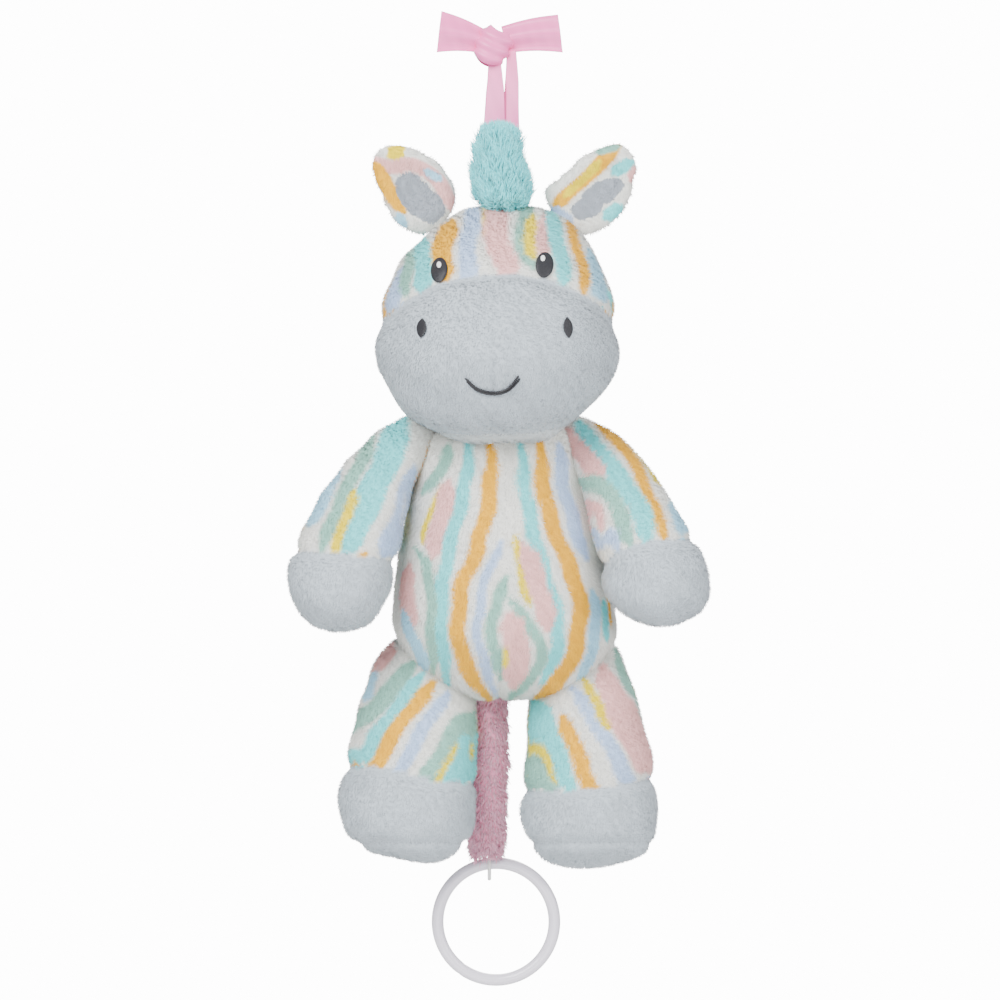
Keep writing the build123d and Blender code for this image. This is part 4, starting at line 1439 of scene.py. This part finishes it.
@dataclass
class Ribbon:
    """The satin ribbon: two straps folded narrow, the knot's wrap and two flared ends."""

    width: float = 16.0
    thick: float = 0.25

    def band(self, name: str, rows: int, shape: Callable[[np.ndarray, np.ndarray], np.ndarray],
             flat: float, held: str, node: str | None) -> bpy.types.Object:
        """Makes one length of ribbon.

        Args:
            name: The piece's name.
            rows: Its rows along the length.
            shape: Places points by their share across and their share along.
            flat: Its flat length in millimetres, which is not used.
            held: How it is held, which is not used.
            node: The CAD node it stands for.

        Returns:
            The length of ribbon.
        """
        clear_selection()
        bpy.ops.mesh.primitive_grid_add(x_subdivisions=48, y_subdivisions=rows, size=2)
        obj = bpy.context.object
        obj.name = name
        grid = points_of(obj) * MM
        across, along = (grid[:, 0] + 1) / 2, (grid[:, 1] + 1) / 2
        move_points(obj, shape(across, along))
        wall = obj.modifiers.new("Wall", "SOLIDIFY")
        wall.thickness, wall.offset = self.thick * MM, 0
        apply_modifiers(obj)
        bpy.ops.object.shade_smooth()
        points = points_of(obj)
        # Painted sheen: the satin's pink is lightened and darkened a little in soft bands.
        painted_sheen = 1 + 0.03 * np.sin(points[:, 0] * 1.1 + points[:, 2] * 0.4)
        paint(obj, np.clip(Dye.SATIN_PINK.linear() * painted_sheen[:, None], 0, 1))
        SATIN.give(obj, "satin_ribbon")
        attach(obj, "head")
        if node:
            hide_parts(node)
        return obj

    def build(self) -> None:
        """Makes all the ribbon's lengths."""
        for side, low, high, wide, z0, z1 in (("right", -1.6, -2.4, 8.6, -64, 1),
                                              ("left", 5.4, 4.6, 6.4, -63, 6)):
            def strap(u: np.ndarray, v: np.ndarray) -> np.ndarray:
                """Folds the strap in two layers and runs it up to the knot."""
                fold = np.abs(u * 2 - 1) - 0.5
                z = z0 + (z1 - z0) * v
                narrow = 1 - 0.25 * np.clip((v - 0.8) / 0.2, 0, 1) + 0.15 * np.sin(v * 5)
                x = low + (high - low) * v + fold * wide * narrow + 0.3 * np.sin(v * 9)
                return np.column_stack((x, (u - 0.5) * 2.6 + 0.4 * np.sin(v * 7 + u * 3), z))
            self.band(f"strap_{side}", 60, strap, 64, "folded", f"hanging_ribbon_{side}")

        def wrap(u: np.ndarray, v: np.ndarray) -> np.ndarray:
            """Turns the ribbon once round the knot, gathered in pleats and slanted."""
            turn = 2 * math.pi * v
            across = (u - 0.5) * 2
            pinch = 1 - 0.35 * across ** 4
            pleat = 1 + 0.09 * np.sin(u * 19 + 0.8 * np.sin(turn)) * pinch
            long, deep = 6.9 * pinch * pleat, 4.6 * pinch * pleat
            a, b = long * np.cos(turn), across * 7.4 + 0.7 * np.cos(turn * 2)
            lean = math.radians(-24)
            return np.column_stack((-3 + a * math.cos(lean) - b * math.sin(lean), deep * np.sin(turn),
                                    7.3 + a * math.sin(lean) + b * math.cos(lean)))
        self.band("knot_wrap", 72, wrap, 40, "gathered", "ribbon_knot")

        def flare(inner: tuple[float, ...], outer: tuple[float, ...], bow: float, out: float
                  ) -> Callable[[np.ndarray, np.ndarray], np.ndarray]:
            """Makes the shape of a flared end.

            Args:
                inner: The lower and upper corners at the knot, as x, z, x, z.
                outer: The lower and upper corners of the cut end.
                bow: How deep its folds are.
                out: How far it comes forward.

            Returns:
                The function that places its points.
            """
            def place(u: np.ndarray, v: np.ndarray) -> np.ndarray:
                """Places the end's points between the knot and the cut."""
                low_x, low_z = inner[0] + (outer[0] - inner[0]) * v, inner[1] + (outer[1] - inner[1]) * v
                top_x, top_z = inner[2] + (outer[2] - inner[2]) * v, inner[3] + (outer[3] - inner[3]) * v
                fold = bow * np.sin(u * 2 * math.pi * 1.25 + 0.6) * (1 - 0.35 * v) + out * v
                sag = 0.8 * np.sin(math.pi * v)
                return np.column_stack((low_x + (top_x - low_x) * u, fold, low_z + (top_z - low_z) * u + sag))
            return place
        self.band("end_right", 40, flare((-6.5, 4.6, -5, 14), (-26.6, 4.8, -24.6, 22.2), 1.5, -1.5), 19,
                  "hung", None)
        self.band("end_left", 40, flare((3, 4.8, 0.5, 16), (26.4, 4.8, 24.4, 20.8), 1.5, -1.0), 23,
                  "hung", None)


@dataclass
class PullTrim:
    """The pull cord with its end loop, and the ring."""

    x: float = -4.5
    y: float = 13.0
    spool: float = -218.0
    hinge: float = -259.0
    foot: float = -333.0
    loop: float = -337.5
    cord: float = 0.8
    ring_x: float = -1.7
    ring_z: float = -362.14
    ring_r: float = 24.8
    wire: float = 2.45

    def build(self) -> None:
        """Makes the cord, its loop and the ring."""
        inside = self.line("pull_line_inside", self.spool, self.hinge - 2)
        CORD_FIBRE.give(inside, "cord")
        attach(inside, "torso")
        line = self.line("pull_line", self.hinge, self.foot)
        CORD_FIBRE.give(line, "cord")
        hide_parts("pull_cord")
        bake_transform(line)
        clear_selection()
        bpy.ops.mesh.primitive_torus_add(major_segments=96, minor_segments=20, major_radius=4,
                                         minor_radius=0.8)
        loop = bpy.context.object
        loop.name = "cord_loop"
        points = points_of(loop) * MM
        turn = np.arctan2(points[:, 1], points[:, 0])
        reach, rise = np.hypot(points[:, 0], points[:, 1]) - 4, points[:, 2]
        braid = 1 + 0.14 * np.abs(np.sin(18 * turn + 1.5 * np.arctan2(rise, reach)))
        centre_z = self.loop - 1.3
        move_points(loop, np.column_stack((self.x + rise * braid * 0.9,
                                           self.y + (3.6 + reach * braid * 0.9) * np.cos(turn),
                                           centre_z + (5.1 + reach * braid * 0.9) * np.sin(turn))))
        turn_out(loop)
        bpy.ops.object.shade_smooth()
        CORD_FIBRE.give(loop, "cord")
        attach(loop, "cord")
        clear_selection()
        bpy.ops.mesh.primitive_torus_add(major_segments=180, minor_segments=36, major_radius=self.ring_r,
                                         minor_radius=self.wire)
        ring = bpy.context.object
        ring.name = "ring_moulding"
        points = points_of(ring) * MM
        turn = np.arctan2(points[:, 1], points[:, 0])
        reach, rise = np.hypot(points[:, 0], points[:, 1]) - self.ring_r, points[:, 2]
        line_of_parting = 1 + 0.035 * np.exp(-(rise / 0.16) ** 2)
        gate = 1 - 0.06 * np.exp(-((turn + 2.2) / 0.035) ** 2)
        out = self.ring_r + reach * line_of_parting * gate
        move_points(ring, np.column_stack((self.ring_x + out * np.cos(turn), self.y + rise,
                                           self.ring_z + out * np.sin(turn))))
        turn_out(ring)
        bpy.ops.object.shade_smooth()
        RING_PLASTIC.give(ring, "ring_plastic")
        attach(ring, "ring")
        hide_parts("pull_ring")

    def line(self, name: str, top: float, foot: float) -> bpy.types.Object:
        """Makes one upright length of twisted cord.

        Args:
            name: The piece's name.
            top: Its upper end's z.
            foot: Its lower end's z.

        Returns:
            The length of cord.
        """
        clear_selection()
        bpy.ops.mesh.primitive_cylinder_add(vertices=24, radius=self.cord, depth=top - foot)
        line = bpy.context.object
        line.name = name
        steps = int((top - foot) / 0.8)
        bpy.ops.object.mode_set(mode="EDIT")
        for i in range(1, steps):
            bpy.ops.mesh.select_all(action="SELECT")
            bpy.ops.mesh.bisect(plane_co=(0, 0, (top - foot) * (i / steps - 0.5)), plane_no=(0, 0, 1))
        bpy.ops.object.mode_set(mode="OBJECT")
        points = points_of(line) * MM
        turn = np.arctan2(points[:, 1], points[:, 0])
        twist = 1 + 0.13 * np.abs(np.sin(1.5 * turn + points[:, 2] * 1.6))
        move_points(line, np.column_stack((self.x + points[:, 0] * twist, self.y + points[:, 1] * twist,
                                           (top + foot) / 2 + points[:, 2])))
        bpy.ops.object.shade_smooth_by_angle(angle=math.radians(50))
        return line


@dataclass
class Studio:
    """The plain pale floor, the soft lights and the camera."""

    middle: float = EYE_HEIGHT * MM
    distance: float = EYE_DISTANCE * MM
    floor: float = -0.62

    def build(self) -> None:
        """Makes the floor, lights, sky and camera."""
        clear_selection()
        bpy.ops.mesh.primitive_cylinder_add(vertices=160, radius=0.62, depth=0.01,
                                            location=(0, 0.02, self.floor))
        floor = bpy.context.object
        floor.name = "studio_floor"
        floor.data.transform(floor.matrix_world)
        floor.matrix_world.identity()
        Finish("Pale floor", (0.86, 0.86, 0.86), roughness=0.7, scale=40, depth=0.02, bump=0.02).give(floor)
        lamps = (("key", (-0.55, -1.0, 0.55), 0.9, 34.0), ("fill", (0.9, -0.8, 0.1), 0.9, 13.0),
                 ("low", (0.0, -0.9, -0.85), 0.8, 9.0), ("back", (0.1, 1.0, 0.5), 0.9, 12.0))
        for name, place, size, power in lamps:
            self.lamp(name, Vector(place), size, power)
        self.sky()
        view = bpy.data.cameras.new("front")
        view.lens, view.sensor_width = 100, 36
        camera = bpy.data.objects.new("front", view)
        bpy.context.scene.collection.objects.link(camera)
        camera.location = (0, -self.distance, self.middle)
        camera.rotation_euler = (math.pi / 2, 0, 0)
        bpy.context.scene.camera = camera

    def lamp(self, name: str, place: Vector, size: float, power: float) -> None:
        """Adds one soft lamp aimed at the toy.

        Args:
            name: The lamp's name.
            place: Where it hangs.
            size: The side of its panel.
            power: Its power in watts.
        """
        light = bpy.data.lights.new(name, "AREA")
        light.size, light.energy = size, power
        lamp = bpy.data.objects.new(name, light)
        bpy.context.scene.collection.objects.link(lamp)
        lamp.location = place
        lamp.rotation_euler = (Vector((0, 0, self.middle)) - place).to_track_quat("-Z", "Y").to_euler()

    def sky(self) -> None:
        """Sets a white backdrop that lights softly."""
        world = bpy.data.worlds.new("studio")
        bpy.context.scene.world = world
        world.use_nodes = True
        nodes, links = world.node_tree.nodes, world.node_tree.links
        seen, lit = nodes["Background"], nodes.new("ShaderNodeBackground")
        seen.inputs["Color"].default_value = (1, 1, 1, 1)
        seen.inputs["Strength"].default_value = 14.0
        lit.inputs["Color"].default_value = (0.97, 0.985, 1, 1)
        lit.inputs["Strength"].default_value = 0.75
        path, blend = nodes.new("ShaderNodeLightPath"), nodes.new("ShaderNodeMixShader")
        links.new(path.outputs["Is Camera Ray"], blend.inputs[0])
        links.new(lit.outputs[0], blend.inputs[1])
        links.new(seen.outputs[0], blend.inputs[2])
        links.new(blend.outputs[0], nodes["World Output"].inputs["Surface"])


def below(seam: tuple[tuple[float, float], ...]) -> MASK:
    """A mask of the points under a seam that runs from side to side."""
    def under(points: np.ndarray) -> np.ndarray:
        """The points under the seam."""
        seen = sighted(points)
        return seen[:, 1] < line_z(seam, seen[:, 0])
    return under


def head_part() -> PlushPart:
    """Describes the head: forehead, two back halves, muzzle and chin."""
    def chin(points: np.ndarray) -> np.ndarray:
        """The points of the chin gusset."""
        return below(CHIN_SEAM)(points) & (points[:, 1] < 4)

    def muzzle(points: np.ndarray) -> np.ndarray:
        """The points of the muzzle and the chin."""
        return below(MUZZLE_SEAM)(points) & (points[:, 1] < 4)

    def eyes(points: np.ndarray) -> np.ndarray:
        """The points under the embroidery."""
        ovals = ((EYE_LEFT, 4.4, 6.0), (EYE_RIGHT, 4.1, 5.9),
                 (NOSTRIL_LEFT, 2.4, 4.8), (NOSTRIL_RIGHT, 2.5, 4.5))
        hit = np.zeros(len(points), bool)
        seen = sighted(points)
        for (x, z), wide, tall in ovals:
            hit |= ((seen[:, 0] - x) / wide) ** 2 + ((seen[:, 1] - z) / tall) ** 2 < 1
        return hit & (points[:, 1] < -20)

    panels = {
        "chin_plush": (chin, "chin_gusset"),
        "muzzle_plush": (muzzle, "muzzle_cover"),
        "forehead_plush": (lambda p: p[:, 1] < 4, "head_forehead"),
        "back_head_left_plush": (lambda p: p[:, 0] >= 0, "head_back_left"),
        "back_head_right_plush": (everywhere, "head_back_right")}
    cloth = PlushPrint(HEAD_STRIPES, 0, muzzle, chin, back_from=4, squeeze=0.42)
    return PlushPart(PlushForm("head", HEAD_LEVELS), cloth, "head", panels, "head_stuffing", Pile(seed=3),
                     (Seam(MUZZLE_SEAM, 1.6), Seam(CHIN_SEAM, 1.6), Seam(MUZZLE_DART, 1.6, 1.8)), eyes)


def torso_part() -> PlushPart:
    """Describes the body: two front and two back panels."""
    def left(points: np.ndarray) -> np.ndarray:
        """The points on the toy's own left of the front seam."""
        line = rounded(FRONT_SEAM)
        return points[:, 0] > np.interp(-points[:, 2], -line[:, 1], line[:, 0])

    def none(points: np.ndarray) -> np.ndarray:
        """No points, as the body has no grey cloth."""
        return np.zeros(len(points), bool)

    panels = {
        "torso_front_left_plush": (lambda p: left(p) & (p[:, 1] < 1), "torso_front_left"),
        "torso_front_right_plush": (lambda p: ~left(p) & (p[:, 1] < 1), "torso_front_right"),
        "torso_back_left_plush": (left, "torso_back_left"),
        "torso_back_right_plush": (everywhere, "torso_back_right")}
    cloth = PlushPrint(TORSO_STRIPES, 1, none)
    return PlushPart(PlushForm("torso", TORSO_LEVELS), cloth, "torso", panels, "torso_stuffing", Pile(seed=5),
                     (Seam(FRONT_SEAM, 1.2, 2.2),))


def limb_part(limb: str, side: str, levels: tuple[LEVEL, ...], stripes: tuple[Stripe, ...],
              seam: tuple[tuple[float, float], ...], seed: int) -> PlushPart:
    """Describes an arm or a leg: a printed sleeve, a grey hoof and, on a leg, a sole.

    Args:
        limb: "arm" or "leg".
        side: "left" or "right".
        levels: Its outline.
        stripes: Its print.
        seam: The line between sleeve and hoof.
        seed: The pile's seed.

    Returns:
        The part.
    """
    name = f"{limb}_{side}"
    panels: dict[str, tuple[MASK, str]] = {}
    if limb == "leg":
        panels[f"{name}_foot_plush"] = (lambda p: p[:, 2] < SOLE_SEAM_Z, f"{name}_sole")
    panels[f"{name}_hoof_plush"] = (below(seam), f"{name}_hoof")
    panels[f"{name}_sleeve_plush"] = (everywhere, f"{name}_sleeve")
    middle = float(np.mean([(a + b) / 2 for _, a, b, _, _ in levels]))
    seams = (Seam(seam, 1.5),)
    if limb == "leg":
        seams += (Seam(((-100, SOLE_SEAM_Z), (100, SOLE_SEAM_Z)), 1.1, 2.0),)
    return PlushPart(PlushForm(name, levels), PlushPrint(stripes, middle, below(seam)), name, panels,
                     f"{name}_stuffing", Pile(seed=seed), seams)


def dress_inside(frame: dict) -> None:
    """Gives every carried-over CAD node its finish.

    Args:
        frame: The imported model.
    """
    slots = {part["node"]: part["material_slot"] for part in frame["record"]["subparts"]}
    for node, obj in frame["nodes"].items():
        BY_SLOT[slots[node]].give(obj)


def corners(box: object) -> list[list[float]]:
    """A box as plain lists of numbers."""
    return [[float(value) for value in corner] for corner in box]


def main() -> None:
    """Builds the toy, its trims and the studio, in order."""
    logging.basicConfig(level=logging.INFO, format="%(message)s")
    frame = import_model()
    dress_inside(frame)
    head = head_part()
    Embroidery(head.build()).build()
    head.dress(PLUSH, FLUFF)
    LOG.info("head sewn")
    for part in (torso_part(),
                 limb_part("arm", "right", ARM_RIGHT_LEVELS, ARM_RIGHT_STRIPES, ARM_RIGHT_SEAM, 7),
                 limb_part("arm", "left", ARM_LEFT_LEVELS, ARM_LEFT_STRIPES, ARM_LEFT_SEAM, 8),
                 limb_part("leg", "right", LEG_RIGHT_LEVELS, LEG_RIGHT_STRIPES, LEG_RIGHT_SEAM, 9),
                 limb_part("leg", "left", LEG_LEFT_LEVELS, LEG_LEFT_STRIPES, LEG_LEFT_SEAM, 10)):
        part.build()
        part.dress(PLUSH, FLUFF)
        LOG.info("%s sewn", part.form.name)
    for ear in (Ear("right", EAR_RIGHT_EDGE, EAR_RIGHT_LINING, EAR_RIGHT_STRIPES),
                Ear("left", EAR_LEFT_EDGE, EAR_LEFT_LINING, EAR_LEFT_STRIPES)):
        ear.part(Pile(length=1.6, seed=12)).dress(PLUSH, FLUFF)
        LOG.info("%s ear sewn", ear.side)
    Crest().build()
    LOG.info("crest sewn")
    Tail().build()
    LOG.info("tail sewn")
    Ribbon().build()
    LOG.info("ribbon tied")
    PullTrim().build()
    LOG.info("cord and ring fitted")
    Studio().build()


if __name__ == "__main__":
    main()
